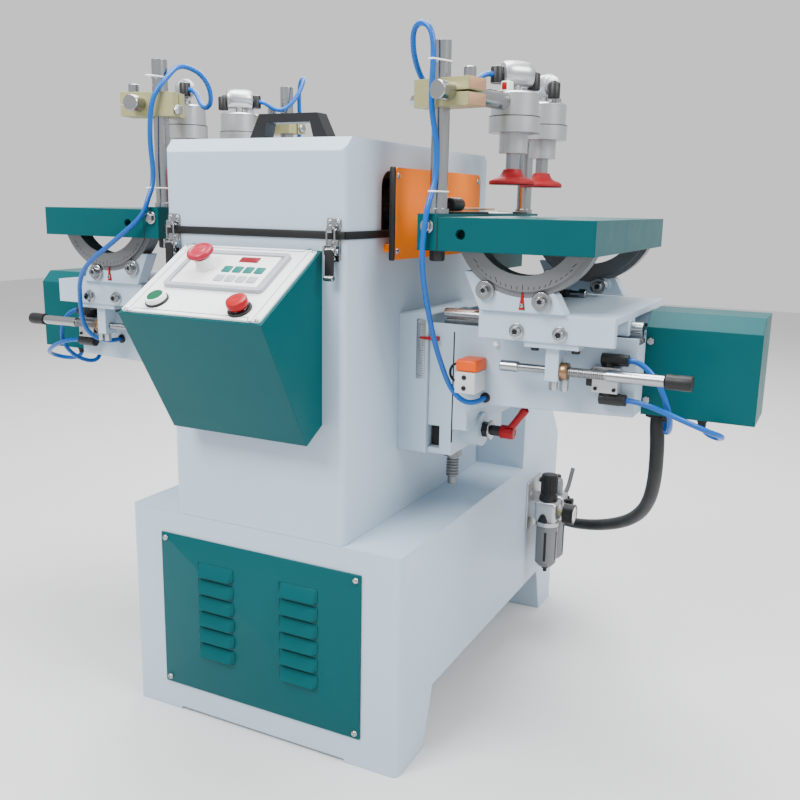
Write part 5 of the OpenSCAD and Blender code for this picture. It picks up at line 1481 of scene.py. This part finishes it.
    def _bowls(self) -> None:
        """Collars, slits and drains of the two bowls."""
        collar = Bench.ring("bowl_collar", [(20.6, -8), (23.2, -7), (23.2, 1), (21.4, 2), (20.6, 2)])
        collars = [HOME @ spot(self.x, y, self.low) for y in self.ys]
        dress(Bench.spread(collar, "bowl_collars", collars), ALLOY, "base")
        slit = Bench.block("bowl_slit", (-2.6, -self.bowl_r - 0.5, -78), (2.6, 1.5 - self.bowl_r, -18), 1.0)
        slits = [HOME @ spot(self.x, y, self.low, turn=a) for y in self.ys for a in self.slit_turns]
        dress(Bench.spread(slit, "bowl_slits", slits), BLACK, "base")
        drain = Bench.turned("bowl_drain", [(3, -11), (4, -10), (4, -4), (7, -3), (7, 1)], 18)
        feet = [HOME @ spot(self.x, y, self.bowl_low) for y in self.ys]
        dress(Bench.spread(drain, "bowl_drains", feet), BLACK, "base")

    def _tail(self, y: float) -> None:
        """The short supply tail, which ends bare as in the photograph.

        Args:
            y: The oiler's place along the unit.
        """
        back = y + self.half
        start, bend = back + self.tail_reach, self.tail_bend
        route = [(self.x, back + d, self.middle) for d in (2, 12, 22, self.tail_reach)]
        for angle in range(10, self.tail_rise + 1, 10):
            a = math.radians(angle)
            route.append((self.x, start + bend * math.sin(a), self.middle + bend * (1 - math.cos(a))))
        lean = math.radians(self.tail_rise)
        _, far, high = route[-1]
        route += [(self.x, far + d * math.cos(lean), high + d * math.sin(lean)) for d in (14, 28)]
        line = [HOME @ p for p in Bench.flowing(route)]
        piece = Bench.tube("supply_tail", line, self.tail_d / 2 * MM)
        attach(piece, "base")
        Hoses.declare(piece, line, self.tail_d, HOSE, "stiff", "bare")
        barb = Bench.turned("tail_barb", [(9, 0), (9, 6), (7, 7), (7, 15), (5.4, 16)], 6)
        dress(Bench.settle(barb, HOME @ spot(self.x, back - 0.5, self.middle, Facing.BACK)), BRASS, "base")


@dataclass
class SideFittings:
    """What the fittings of an arm, a carriage and a table share: the half that they are on."""

    side: Side

    def _name(self, name: str) -> str:
        """Name of a piece on this half."""
        return self.side.of(name)

    def _body(self, body: str) -> str:
        """Name of a body on this half, or the base."""
        return body if body == "base" else self.side.of(body)

    def _put(self, piece: Piece, finish: Finish, place: Matrix, body: str = "arm", *stands_for: str) -> Piece:
        """Settle a piece on this half and dress it.

        Args:
            piece: The piece, about the origin.
            finish: Its finish.
            place: Its place on the right half, in millimetres.
            body: Its body, without the half's ending, or "base".
            stands_for: Nodes that it replaces.

        Returns:
            The piece.
        """
        return dress(Bench.settle(piece, self.side.frame @ place), finish, self._body(body), *stands_for)

    def _row(self, piece: Piece, finish: Finish, places: Sequence[Matrix], body: str = "arm") -> Piece:
        """Copies of a piece on this half, joined and dressed.

        Args:
            piece: The shape, about the origin.
            finish: Its finish.
            places: Places on the right half, in millimetres.
            body: Its body, without the half's ending, or "base".

        Returns:
            The joined piece.
        """
        name = self._name(piece.name.removesuffix(f"_{self.side.tag}") + "s")
        made = Bench.spread(piece, name, [self.side.frame @ p for p in places])
        return dress(made, finish, self._body(body))

    def _bolts(self, name: str, radius: float, height: float, places: Sequence[Matrix], body: str) -> None:
        """Bright cap screws with a dark plug in each socket.

        Args:
            name: Name of one screw, without the half's ending.
            radius: Radius of its head.
            height: Height of its head.
            places: Places on the right half, in millimetres.
            body: Their body, without the half's ending.
        """
        self._row(Bench.cap_screw(self._name(name), radius, height), STEEL, places, body)
        plug = [(0.5, 0.28), (0.5, 0.8), (0.4, 0.82)]
        self._row(Bench.head(self._name(f"{name}_socket"), radius, height, plug, 6), OXIDE, places, body)


@dataclass
class ArmFittings(SideFittings):
    """Rule, switch, valve, lock and cover fittings on one arm and its slide."""

    front: float = 176.0
    way_front: float = 170.0
    # Place across, the middle's height, width and height.
    rule: ClassVar[tuple[float, float, float, float]] = (193.0, 626.0, 15.0, 93.0)
    rule_thick: float = 0.9
    rule_half: float = 42.0
    rule_ticks: ClassVar[tuple[int, float]] = (22, 4.0)
    tick_lengths: ClassVar[tuple[float, float]] = (9.0, 5.0)
    pointer: ClassVar[tuple[float, float]] = (207.5, 644.0)
    pointer_proud: float = 8.0
    switch: ClassVar[tuple[Point, Point]] = ((268.0, 130.0, 572.0), (300.0, 176.0, 604.0))
    switch_top: float = 622.0
    switch_screws: ClassVar[tuple[float, float, float]] = (283.0, 596.5, 580.5)
    lead_d: float = 4.0
    lead: ClassVar[tuple[Point, ...]] = (
        (268.5, 146, 614), (262, 145, 613), (256.5, 144, 608), (254.5, 144, 599), (256.5, 146, 591),
        (262, 149, 586), (269, 152, 585),
    )
    left_lead_shift: float = 6.0
    right_hole: ClassVar[tuple[float, float]] = (300.0, 560.0)
    left_hole: ClassVar[tuple[float, float]] = (424.0, 590.0)
    oil_nub: ClassVar[tuple[float, float]] = (315.0, 644.0)
    valve_x: float = 486.0
    valve_y: float = 163.0
    valve_front: float = 150.0
    valve_screw_xs: ClassVar[tuple[float, float]] = (473.0, 499.0)
    valve_screw_zs: ClassVar[tuple[float, float]] = (597.5, 622.5)
    elbow_zs: ClassVar[tuple[float, float]] = (582.0, 638.0)
    neck_zs: ClassVar[tuple[float, float]] = (592.0, 628.0)
    cover_ys: ClassVar[tuple[float, float]] = (229.0, 329.0)
    cover_screw_x: float = 529.0
    cover_screw_zs: ClassVar[tuple[float, float]] = (573.0, 659.0)
    lock: ClassVar[tuple[float, float]] = (236.0, 495.0)
    # Nut, washer, stud, hub and grip.
    lock_xs: ClassVar[tuple[float, float, float, float, float]] = (276.0, 287.0, 290.0, 306.0, 317.0)
    grip_lean: float = 35.0
    screw: ClassVar[tuple[float, float]] = (225.65, 232.5)
    # Tip, start of the thread, nut and top.
    screw_zs: ClassVar[tuple[float, float, float, float]] = (398.0, 411.0, 445.0, 560.0)
    screw_pitch: float = 5.0

    def build(self) -> None:
        """Model the fittings of the arm."""
        self._rule()
        self._switch()
        self._valve()
        self._lock()
        self._lifting_screw()
        self._seams()

    def _rule(self) -> None:
        """The height rule on the slide and the pointer on the knee."""
        x, z, wide, long = self.rule
        y = self.way_front
        face = y - self.rule_thick
        strip = Bench.plate(self._name("height_rule"), wide, long, self.rule_thick, 0.6)
        self._put(strip, STEEL, spot(x, y, z, Facing.FRONT), "base")
        count, pitch = self.rule_ticks
        ticks = []
        for i in range(count):
            reach = self.tick_lengths[0 if i % 5 == 0 else 1]
            place = spot(x + 7 - reach / 2, face, z - self.rule_half + i * pitch, Facing.FRONT)
            ticks.append(place @ Matrix.Diagonal((reach, 1, 1, 1)))
        tick = Bench.block(self._name("rule_tick"), (-0.5, -0.3, 0), (0.5, 0.3, 0.12), 0.05, 1)
        self._row(tick, OXIDE, ticks, "base")
        screw = Bench.dome_screw(self._name("rule_screw"), 1.9, 1.0)
        ends = [spot(x - 4, face, z + d, Facing.FRONT) for d in (-self.rule_half, self.rule_half)]
        self._row(screw, STEEL, ends, "base")
        hand_x, hand_z = self.pointer
        hand_y = self.front - self.pointer_proud
        hand = Bench.plate(self._name("height_pointer"), 8, 32, 1.6, 1, taper=0.35)
        self._put(hand, RED, spot(hand_x, hand_y, hand_z, Facing.FRONT, 90))
        low, high = (214, hand_y - 0.4, hand_z - 3.5), (222, self.front, hand_z + 3.5)
        self._put(Bench.block(self._name("pointer_post"), low, high, 0.8), RED, Matrix())

    def _switch(self) -> None:
        """The limit switch with its cap, screws and lead, and the grommet and oil nub near it."""
        low, high = self.switch
        body = Bench.block(self._name("switch_body"), low, high, 1.6, 3)
        self._put(body, PALE, Matrix(), "arm", self._name("limit_switch"))
        foot, crown = (low[0] - 0.6, low[1] + 3, high[2]), (high[0] + 0.6, high[1], self.switch_top)
        self._put(Bench.block(self._name("switch_cap"), foot, crown, 3.6, 3), CORAL, Matrix())
        bore = Bench.cap_screw(self._name("switch_screw"), 3.6, 1.6)
        x, *zs = self.switch_screws
        self._row(bore, OXIDE, [spot(x, low[1], z, Facing.FRONT) for z in zs])
        shift = self.left_lead_shift if self.side is Side.LEFT else 0.0
        route = [(x, y + shift, z) for x, y, z in self.lead]
        line = [self.side.frame @ p for p in Bench.flowing(route)]
        piece = Bench.tube(self._name("switch_lead"), line, self.lead_d / 2 * MM, 3)
        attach(piece, self.side.of("arm"))
        Hoses.declare(piece, line, self.lead_d, RUBBER)
        shape = [(8, 0), (8, 2), (6.4, 4.4), (4.6, 5), (4.4, 4.4)]
        grommet = Bench.turned(self._name("tube_grommet"), shape, 24)
        x, z = self.right_hole if self.side is Side.RIGHT else self.left_hole
        self._put(grommet, BLACK, spot(x, self.front, z, Facing.FRONT))
        nub = Bench.turned(self._name("oil_nub"), [(4.4, 0), (4.4, 4), (3.4, 6.4), (1.6, 7.4)], 18)
        x, z = self.oil_nub
        self._put(nub, WHITE, spot(x, self.front, z, Facing.FRONT))

    def _valve(self) -> None:
        """The elbows and screws of the air valve, and the fittings under the end cover."""
        x, y = self.valve_x, self.valve_y
        shape = [(6, -10), (8.8, -9), (8.8, 20), (8.2, 21), (8.2, 28.2), (5, 28.6)]
        elbow = Bench.turned(self._name("valve_elbow"), shape, 24)
        self._row(elbow, BLACK, [spot(x, y, z, Facing.OUT) for z in self.elbow_zs])
        neck = Bench.hex_bolt(self._name("valve_neck"), 9.0, 9.0)
        low, high = self.neck_zs
        self._row(neck, BLACK, [spot(x, y, high), spot(x, y, low, Facing.DOWN)])
        screw = Bench.cap_screw(self._name("valve_screw"), 2.8, 2.0)
        corners = [(across, z) for across in self.valve_screw_xs for z in self.valve_screw_zs]
        self._row(screw, OXIDE, [spot(across, self.valve_front, z, Facing.FRONT) for across, z in corners])
        pilot = Bench.block(self._name("valve_pilot"), (458, 153, 599), (468.4, 173, 621), 2.0)
        self._put(pilot, BLACK, Matrix())
        shape = [(7.4, 0), (7.4, 6), (6, 7), (6, 12), (5, 13)]
        fitting = Bench.turned(self._name("cover_fitting"), shape, 18)
        ends = [spot(*route[-1], Facing.DOWN) for route in (Hoses.valve, Hoses.back_feed)]
        self._row(fitting, BLACK, ends)
        bolt = Bench.hex_bolt(self._name("cover_screw"), 5.4, 3.6)
        faces = zip(self.cover_ys, (Facing.FRONT, Facing.BACK))
        rim = [spot(self.cover_screw_x, wall, z, way) for wall, way in faces for z in self.cover_screw_zs]
        self._row(bolt, STEEL, rim)

    def _lock(self) -> None:
        """The nut, washer and stud of the slide lock, and its clamping lever."""
        y, z = self.lock
        nut, washer, stud, hub, grip = self.lock_xs
        disc = Bench.turned(self._name("lock_washer"), [(15.5, 0), (16, 0.6), (16, 2.4), (15, 3)], 32)
        self._put(disc, STEEL, spot(washer, y, z, Facing.OUT))
        self._put(Bench.hex_bolt(self._name("lock_nut"), 12.5, 11), OXIDE, spot(nut, y, z, Facing.OUT))
        sleeve = Bench.turned(self._name("lock_stud"), [(8.4, 0), (8.4, 13), (7.4, 16)], 24)
        self._put(sleeve, OXIDE, spot(stud, y, z, Facing.OUT), "lock")
        boss = [(10.6, 0), (11, 1), (11, 19), (9.6, 22), (5.4, 22.6), (5, 21.4)]
        self._put(Bench.turned(self._name("lock_hub"), boss, 28), RED, spot(hub, y, z, Facing.OUT), "lock")
        handle = [(5.2, 0), (6.2, 10), (5.6, 30), (7.0, 44), (6.4, 49), (3.6, 51)]
        lean = Matrix.Translation((grip, y, z)) @ Matrix.Rotation(math.radians(self.grip_lean), 4, "Y")
        self._put(Bench.turned(self._name("lock_grip"), handle, 20), RED, lean, "lock")

    def _lifting_screw(self) -> None:
        """The lifting screw, with its thread cut in below the collar's nut."""
        x, y = self.screw
        low, thread, nut, top = self.screw_zs
        shape = [(6.4, low), (7.4, low + 1), (7.4, thread - 1)]
        shape += [*Bench.thread(10.4, thread, nut, self.screw_pitch), (9.6, nut), (8, nut + 2), (8, top)]
        spindle = Bench.turned(self._name("threaded_screw"), shape, 32)
        self._put(spindle, WORN, spot(x, y, 0), "screw", self._name("lifting_screw"))
        self._put(Bench.hex_bolt(self._name("screw_nut"), 15.0, 15), WORN, spot(x, y, nut), "screw")

    def _seams(self) -> None:
        """The dark joint between knee and arm, and painted shade in the notch at the knee's foot: a black block
        at the notch's back.
        """
        low, high = (245.0, self.front - 0.25, 482), (247.2, self.front + 1, 656)
        self._put(Bench.block(self._name("knee_seam"), low, high, 0.1, 1), RUBBER, Matrix())
        # Black block at the back of the knee's notch: painted shade that makes the notch look deeper.
        notch = Bench.block(self._name("knee_notch"), (206.4, 190, 471), (225.5, 206.4, 505), 0.4, 1)
        self._put(notch, RUBBER, Matrix())


@dataclass
class CarriageFittings(SideFittings):
    """Bolts, pointer, buffer and stop rod fittings on one carriage."""

    apron: float = 110.0
    # Height of the bolts, then where they are across.
    apron_bolts: ClassVar[tuple[float, float, float]] = (674.5, 368.0, 430.0)
    axis: ClassVar[tuple[float, float]] = (377.0, 828.0)
    cradle_ys: ClassVar[tuple[float, float]] = (104.0, 402.0)
    clamp_radius: float = 113.0
    clamp_angles: ClassVar[tuple[float, float]] = (-29.0, 14.0)
    clamp_seat: float = 4.4
    pointer_z: float = 717.0
    stop: ClassVar[tuple[float, float]] = (134.0, 620.0)
    tee_xs: ClassVar[tuple[float, float]] = (388.0, 447.0)
    tee_zs: ClassVar[tuple[float, float]] = (606.0, 653.0)
    collar_x: float = 427.4
    collar_w: float = 10.8
    sleeve_x: float = 491.6
    grip_x: float = 570.4
    rod_pitch: float = 2.6

    def build(self) -> None:
        """Model the fittings of the carriage."""
        self._apron()
        self._buffer()
        self._cradles()
        self._stop_rod()

    def _apron(self) -> None:
        """The apron's bolts and the screws of the tee bracket under it."""
        z, *xs = self.apron_bolts
        places = [spot(x, self.apron, z, Facing.FRONT) for x in xs]
        thick = 2.2
        shape = [(10.4, 0), (10.8, 0.5), (10.8, 1.8), (10, thick)]
        self._row(Bench.turned(self._name("apron_washer"), shape, 28), STEEL, places, "carriage")
        raised = [p @ Matrix.Translation((0, 0, thick)) for p in places]
        self._bolts("apron_screw", 7.2, 8, raised, "carriage")
        y = self.stop[0]
        low, high = self.tee_zs
        tee = Bench.cap_screw(self._name("bracket_screw"), 6.0, 7)
        self._row(tee, OXIDE, [spot(x, y, high, Facing.DOWN) for x in self.tee_xs], "carriage")
        bolt = Bench.hex_bolt(self._name("bracket_bolt"), 6.6, 14)
        self._row(bolt, STEEL, [spot(sum(self.tee_xs) / 2, y, low, Facing.DOWN)], "carriage")

    def _buffer(self) -> None:
        """The buffer on the carriage's top and its peg."""
        buffer = Bench.block(self._name("carriage_buffer"), (348, 352, 701), (366, 382, 712), 1.6)
        self._put(buffer, OXIDE, Matrix(), "carriage")
        peg = Bench.turned(self._name("buffer_peg"), [(5, 0), (5, 16), (8, 16.4), (8, 27), (7, 28)], 20)
        self._put(peg, STEEL, spot(366, 367, 706.8, Facing.OUT), "carriage")

    def _cradles(self) -> None:
        """Washers, cap screws and the red pointer on the cradles."""
        x, z = self.axis
        clamps = []
        for y in self.cradle_ys:
            for a in map(math.radians, self.clamp_angles):
                across, down = self.clamp_radius * math.sin(a), self.clamp_radius * math.cos(a)
                clamps.append(spot(x + across, y - self.clamp_seat, z - down, Facing.FRONT))
        proud = 1.6
        shape = [(12.8, -4.2), (13.6, -3.6), (13.6, 0.8), (12.6, proud)]
        self._row(Bench.turned(self._name("cradle_washer"), shape, 32), STEEL, clamps, "carriage")
        raised = [p @ Matrix.Translation((0, 0, proud)) for p in clamps]
        self._bolts("cradle_screw", 7.6, 8, raised, "carriage")
        front, thick = self.cradle_ys[0], 1.4
        hand = Bench.plate(self._name("tilt_pointer"), 9, 24, thick, 0.5, taper=0.2)
        self._put(hand, RED, spot(x - 1, front, self.pointer_z, Facing.FRONT), "carriage")
        screw = Bench.cap_screw(self._name("pointer_screw"), 3.0, 2.2)
        self._put(screw, STEEL, spot(x - 1, front - thick, self.pointer_z - 6, Facing.FRONT), "carriage")

    def _stop_rod(self) -> None:
        """The threaded stop rod with its collar, collar bolt, sleeve and grip."""
        y, z = self.stop
        along, w = spot(0, y, z, Facing.OUT), self.collar_w
        shape = [(6.2, 0), (12.2, 0), (12.6, 0.6), (12.6, w - 0.6), (12.2, w), (6.2, w)]
        collar = Bench.ring(self._name("stop_collar"), shape, 36)
        self._put(collar, BRONZE, spot(self.collar_x, y, z, Facing.OUT), "stop_rod")
        bolt = Bench.hex_bolt(self._name("collar_bolt"), 6.6, 17)
        self._put(bolt, STEEL, spot(self.collar_x + w / 2, y, z - 11, Facing.DOWN), "stop_rod")
        shape = [(7.4, 0), (10.4, 1), (10.6, 6), (10.2, 12), (10.6, 20), (10.6, 33.6), (10.2, 35), (8, 36)]
        grip = Bench.turned(self._name("stop_grip"), shape, 28)
        self._put(grip, BLACK, spot(self.grip_x, y, z, Facing.OUT), "stop_rod")
        tip = [(7, 338), (8, 339), (8, 364), (7, 365)]
        shape = [*tip, *Bench.thread(6, 366, 405, self.rod_pitch), (6, 405), (6, 571)]
        rod = Bench.turned(self._name("stop_spindle"), shape, 32)
        self._put(rod, STEEL, along, "stop_rod", self._name("stop_rod"))
        ridges = Bench.turned(self._name("stop_thread"), Bench.thread(6.9, 440, 490, self.rod_pitch), 28)
        self._put(ridges, WORN, along, "stop_rod")
        sleeve = Bench.turned(self._name("stop_sleeve"), [(7, 0), (8.2, 0.8), (8.2, 77.8), (7, 78.6)], 28)
        self._put(sleeve, STEEL, spot(self.sleeve_x, y, z, Facing.OUT), "stop_rod")


@dataclass
class TableFittings(SideFittings):
    """Scale, fence and clamp fittings that tilt with one table."""

    table_front: float = 68.0
    fence_top: float = 832.0
    fence_bolt: ClassVar[tuple[float, float]] = (245.8, 815.0)
    fence_inner: float = 261.0
    fence_knob: ClassVar[Point] = (252.0, 166.0, 845.0)
    axis: ClassVar[tuple[float, float]] = (377.0, 828.0)
    # Outer radius and face of the graduated band.
    band: ClassVar[tuple[float, float]] = (98.0, 100.0)
    tick_lengths: ClassVar[tuple[float, float]] = (8.0, 4.6)
    tick_step: float = 5.0
    ticks_a_side: int = 10
    # Place across of both posts, then the front one's and the rear one's depth.
    post: ClassVar[tuple[float, float, float]] = (247.0, 102.0, 464.0)
    post_foot: float = 782.0
    turns: ClassVar[tuple[float, float]] = (13.0, 18.0)
    reach: ClassVar[tuple[float, float]] = (142.0, 92.0)
    cross_x: float = 28.0
    rod_r: float = 12.8
    block_half: float = 20.1
    block_z: float = 992.0
    port_turn: float = 63.0
    port_z: float = 1033.0
    # Height of each tie and the middle of the tube in it.
    ties: ClassVar[tuple[tuple[float, float, float], ...]] = ((1034.0, 245.0, 75.0), (862.0, 250.5, 73.0))
    tie_radii: ClassVar[tuple[float, float]] = (13.6, 5.0)
    tie_d: float = 2.6

    def build(self) -> None:
        """Model the fittings of the table."""
        self._scale()
        self._fence()
        for rear in (False, True):
            self._clamp(rear)
        self._ties()

    def _scale(self) -> None:
        """The graduations on the front ring segment."""
        x, z = self.axis
        outer, y = self.band
        width = 0.6
        tick = Bench.block(self._name("tilt_tick"), (-0.45, -width / 2, 0), (0.45, width / 2, 0.16), 0.05, 1)
        places = []
        for step in range(-self.ticks_a_side, self.ticks_a_side + 1):
            long = self.tick_lengths[0 if step % 5 == 0 else 1]
            a = math.radians(step * self.tick_step)
            r = outer - 2.0 - long / 2
            turn = Matrix.Rotation(-a, 4, "Z") @ Matrix.Diagonal((1.0, long / width, 1.0, 1.0))
            places.append(spot(x + r * math.sin(a), y, z - r * math.cos(a), Facing.FRONT) @ turn)
        self._row(tick, OXIDE, places, "table")

    def _fence(self) -> None:
        """The fence's bolt, joint, wear strips, stop knob and bar, and the bolts under the posts."""
        x, z = self.fence_bolt
        y, top, inner = self.table_front, self.fence_top, self.fence_inner
        washer = Bench.turned(self._name("fence_washer"), [(9.6, 0), (10, 0.4), (10, 1.6), (9.4, 2)], 24)
        self._put(washer, STEEL, spot(x, y, z, Facing.FRONT), "table")
        bolt = Bench.hex_bolt(self._name("fence_bolt"), 8.0, 6)
        self._put(bolt, STEEL, spot(x, y - 2, z, Facing.FRONT), "table")
        seam = Bench.block(self._name("fence_seam"), (260.8, y - 0.2, 783), (262.6, y + 1, 828), 0.1, 1)
        self._put(seam, RUBBER, Matrix(), "table")
        for name, outer, near, far, thick, round_over, finish in (
            ("fence_strip", 234, 124, 262, 3, 1.0, RUBBER),
            ("fence_liner", 236, 264, 372, 2, 0.8, WHITE),
            ("fence_shoe", 233, 374, 445, 3.4, 1.0, OXIDE),
        ):
            strip = Bench.block(self._name(name), (outer, near, top), (inner, far, top + thick), round_over)
            self._put(strip, finish, Matrix(), "table")
        shape = [(6, 0), (9.2, 0.6), (9.6, 2), (9.6, 36), (9.2, 37.4), (6.4, 38), (6, 36)]
        knob = Bench.turned(self._name("fence_knob"), shape, 32)
        self._put(knob, BLACK, spot(*self.fence_knob, Facing.FRONT), "table")
        bar = Bench.block(self._name("fence_bar"), (248, 166, 837), (256, 300, 840.4), 0.8)
        self._put(bar, COPPER, Matrix(), "table")
        x, *ys = self.post
        bolt = Bench.hex_bolt(self._name("post_bolt"), 11.0, 16)
        self._row(bolt, OXIDE, [spot(x, y, self.post_foot, Facing.DOWN) for y in ys], "table")

    def _at_post(self, rear: bool) -> Matrix:
        """Frame of a clamp block: the post on Z and the cross rod along Y.

        Args:
            rear: Whether it is the rear clamp.

        Returns:
            The frame, in millimetres on the right half.
        """
        x, front, back = self.post
        flip = Matrix.Diagonal((1.0, -1.0 if rear else 1.0, 1.0, 1.0))
        turn = Matrix.Rotation(-math.radians(self.turns[rear]), 4, "Z")
        return Matrix.Translation((x, back if rear else front, 0.0)) @ flip @ turn

    def _clamp(self, rear: bool) -> None:
        """Cross rod, bolts and cylinder of one clamp.

        Args:
            rear: Whether it is the rear clamp.
        """
        end = "rear" if rear else "front"
        home, reach = self._at_post(rear), self.reach[rear]
        x, r, half, z = self.cross_x, self.rod_r, self.block_half, self.block_z
        stub = Bench.turned(self._name(f"{end}_rod_stub"), [(11.6, 0), (r, 1.4), (r, 26.6)], 32)
        over = Matrix.Translation((0, 0, 26.8)) @ Matrix.Rotation(math.pi, 4, "X")
        self._put(stub, STEEL, home @ spot(x, -half, z, Facing.FRONT) @ over, "table")
        rod = Bench.turned(self._name(f"{end}_rod"), [(r, 0), (r, reach - half - 33.1)], 32)
        self._put(rod, STEEL, home @ spot(x, half, z, Facing.BACK), "table")
        tips = [home @ spot(60, 0, z + d, Facing.OUT) for d in (-10.2, 10.2)]
        sawn = Bench.plate(self._name(f"{end}_block_end"), 15.4, 38.6, 0.5, 0.6)
        self._row(sawn, COPPER, tips, "table")
        shape = [(8.4, 0), (8.4, 13), (7.6, 14), (4.6, 14), (4.4, 7)]
        bolt = Bench.turned(self._name(f"{end}_block_bolt"), shape, 20)
        self._put(bolt, STEEL, home @ spot(47, 0, z + 18.5), "table")
        stud = Bench.hex_bolt(self._name(f"{end}_block_stud"), 8.0, 4.5 if rear else 9.0)
        self._put(stud, STEEL, home @ spot(-32, -11, z - 8, Facing.IN), "table")
        place = home @ Matrix.Translation((x, reach, 0.0))
        self._cylinder(end, place)
        self._port(end, place)

    def _cylinder(self, end: str, place: Matrix) -> None:
        """Seam, cap lip, piston rod and pad of one clamp cylinder.

        Args:
            end: "front" or "rear".
            place: The cylinder's axis, in millimetres on the right half.
        """
        shape = [(36.6, 971.2), (37.7, 971.2), (37.7, 972.4), (36.6, 972.4)]
        self._put(Bench.ring(self._name(f"{end}_seam"), shape, 48), RUBBER, place, "table")
        shape = [(28, 1004.4), (35.2, 1002.6), (35.2, 1003.6), (33, 1006), (28, 1006)]
        self._put(Bench.ring(self._name(f"{end}_cap_lip"), shape, 48), ALLOY, place, "table")
        rod = Bench.turned(self._name(f"{end}_piston"), [(10, 896), (10, 987)], 32)
        self._put(rod, STEEL, place, f"{end}_pad")
        sole = [(33, 875), (34, 876), (34, 879.6), (33, 881.2), (29, 884)]
        neck = [(23, 885.4), (17.4, 889), (14.4, 894), (13.6, 897), (11, 898)]
        foot = Bench.turned(self._name(f"{end}_shoe"), [*sole, *neck], 48)
        self._put(foot, PAD, place, f"{end}_pad", self._name(f"{end}_pad"))

    def _port(self, end: str, place: Matrix) -> None:
        """Port body, elbows and bleed slide on top of one clamp cylinder.

        Args:
            end: "front" or "rear".
            place: The cylinder's axis, in millimetres on the right half.
        """
        port = place @ Matrix.Rotation(math.radians(self.port_turn), 4, "Z")
        shape = [(9, -25), (14, -23.4), (16.4, -19), (17.4, -11), (17.4, 11), (16.4, 19), (14, 23.4), (9, 25)]
        body = Bench.turned(self._name(f"{end}_port"), shape, 32)
        self._put(body, ALLOY, port @ spot(0, 0, self.port_z, Facing.OUT), "table")
        elbow = Bench.turned(self._name(f"{end}_elbow"), [(7.6, 0), (9.4, 1), (9.4, 22.6), (8, 24.4)], 24)
        self._row(elbow, BLACK, [port @ spot(-32, 0, 1016.8), port @ spot(30, 0, 1011)], "table")
        arm = Bench.turned(self._name(f"{end}_elbow_arm"), [(8.6, 0), (8.6, 9), (7.4, 11)], 24)
        arms = [port @ spot(-22, 0, 1030, Facing.IN), port @ spot(21, 0, 1030, Facing.OUT)]
        self._row(arm, BLACK, arms, "table")
        tag = Bench.block(self._name(f"{end}_bleed"), (-7, -30, 1005), (7, -16, 1020), 1.4)
        self._put(tag, WHITE, place, "table")
        slide = Bench.block(self._name(f"{end}_bleed_slide"), (-4, -31.2, 1008), (4, -29.4, 1018), 0.6)
        self._put(slide, RED, place, "table")

    @staticmethod
    def _half_turn(x: float, y: float, z: float, radius: float, start: float, steps: int) -> list[Vector]:
        """Points of a level half circle.

        Args:
            x: Its middle, across.
            y: Its middle, from front to back.
            z: Its height.
            radius: Its radius.
            start: Angle of its first point.
            steps: Stretches that it is parted into.

        Returns:
            The points, in millimetres.
        """
        angles = [start + k * math.pi / steps for k in range(steps + 1)]
        return [Vector((x + radius * math.cos(a), y + radius * math.sin(a), z)) for a in angles]

    def _ties(self) -> None:
        """White cable ties round the front post and its tube."""
        x, y, _ = self.post
        post_r, tube_r = self.tie_radii
        for i, (z, tube_x, tube_y) in enumerate(self.ties):
            behind = self._half_turn(x, y, z, post_r, 0.0, 8)
            before = self._half_turn(tube_x, tube_y, z, tube_r, math.pi, 6)
            line = [self.side.frame @ p for p in (*behind, *before, behind[0])]
            tie = Bench.tube(self._name(f"cable_tie_{i}"), line, self.tie_d / 2 * MM, 2)
            dress(tie, WHITE, self.side.of("table"))


def main() -> None:
    """Build the scene, piece by piece."""
    logging.basicConfig(level=logging.INFO, format="%(name)s: %(message)s")
    Studio().build()
    Hoses().build()
    SolidSkins().dress()
    ControlPanel().build()
    Latches().build()
    Casing().build()
    AirSet().build()
    for side in Side:
        ArmFittings(side).build()
        CarriageFittings(side).build()
        TableFittings(side).build()


if __name__ == "__main__":
    main()
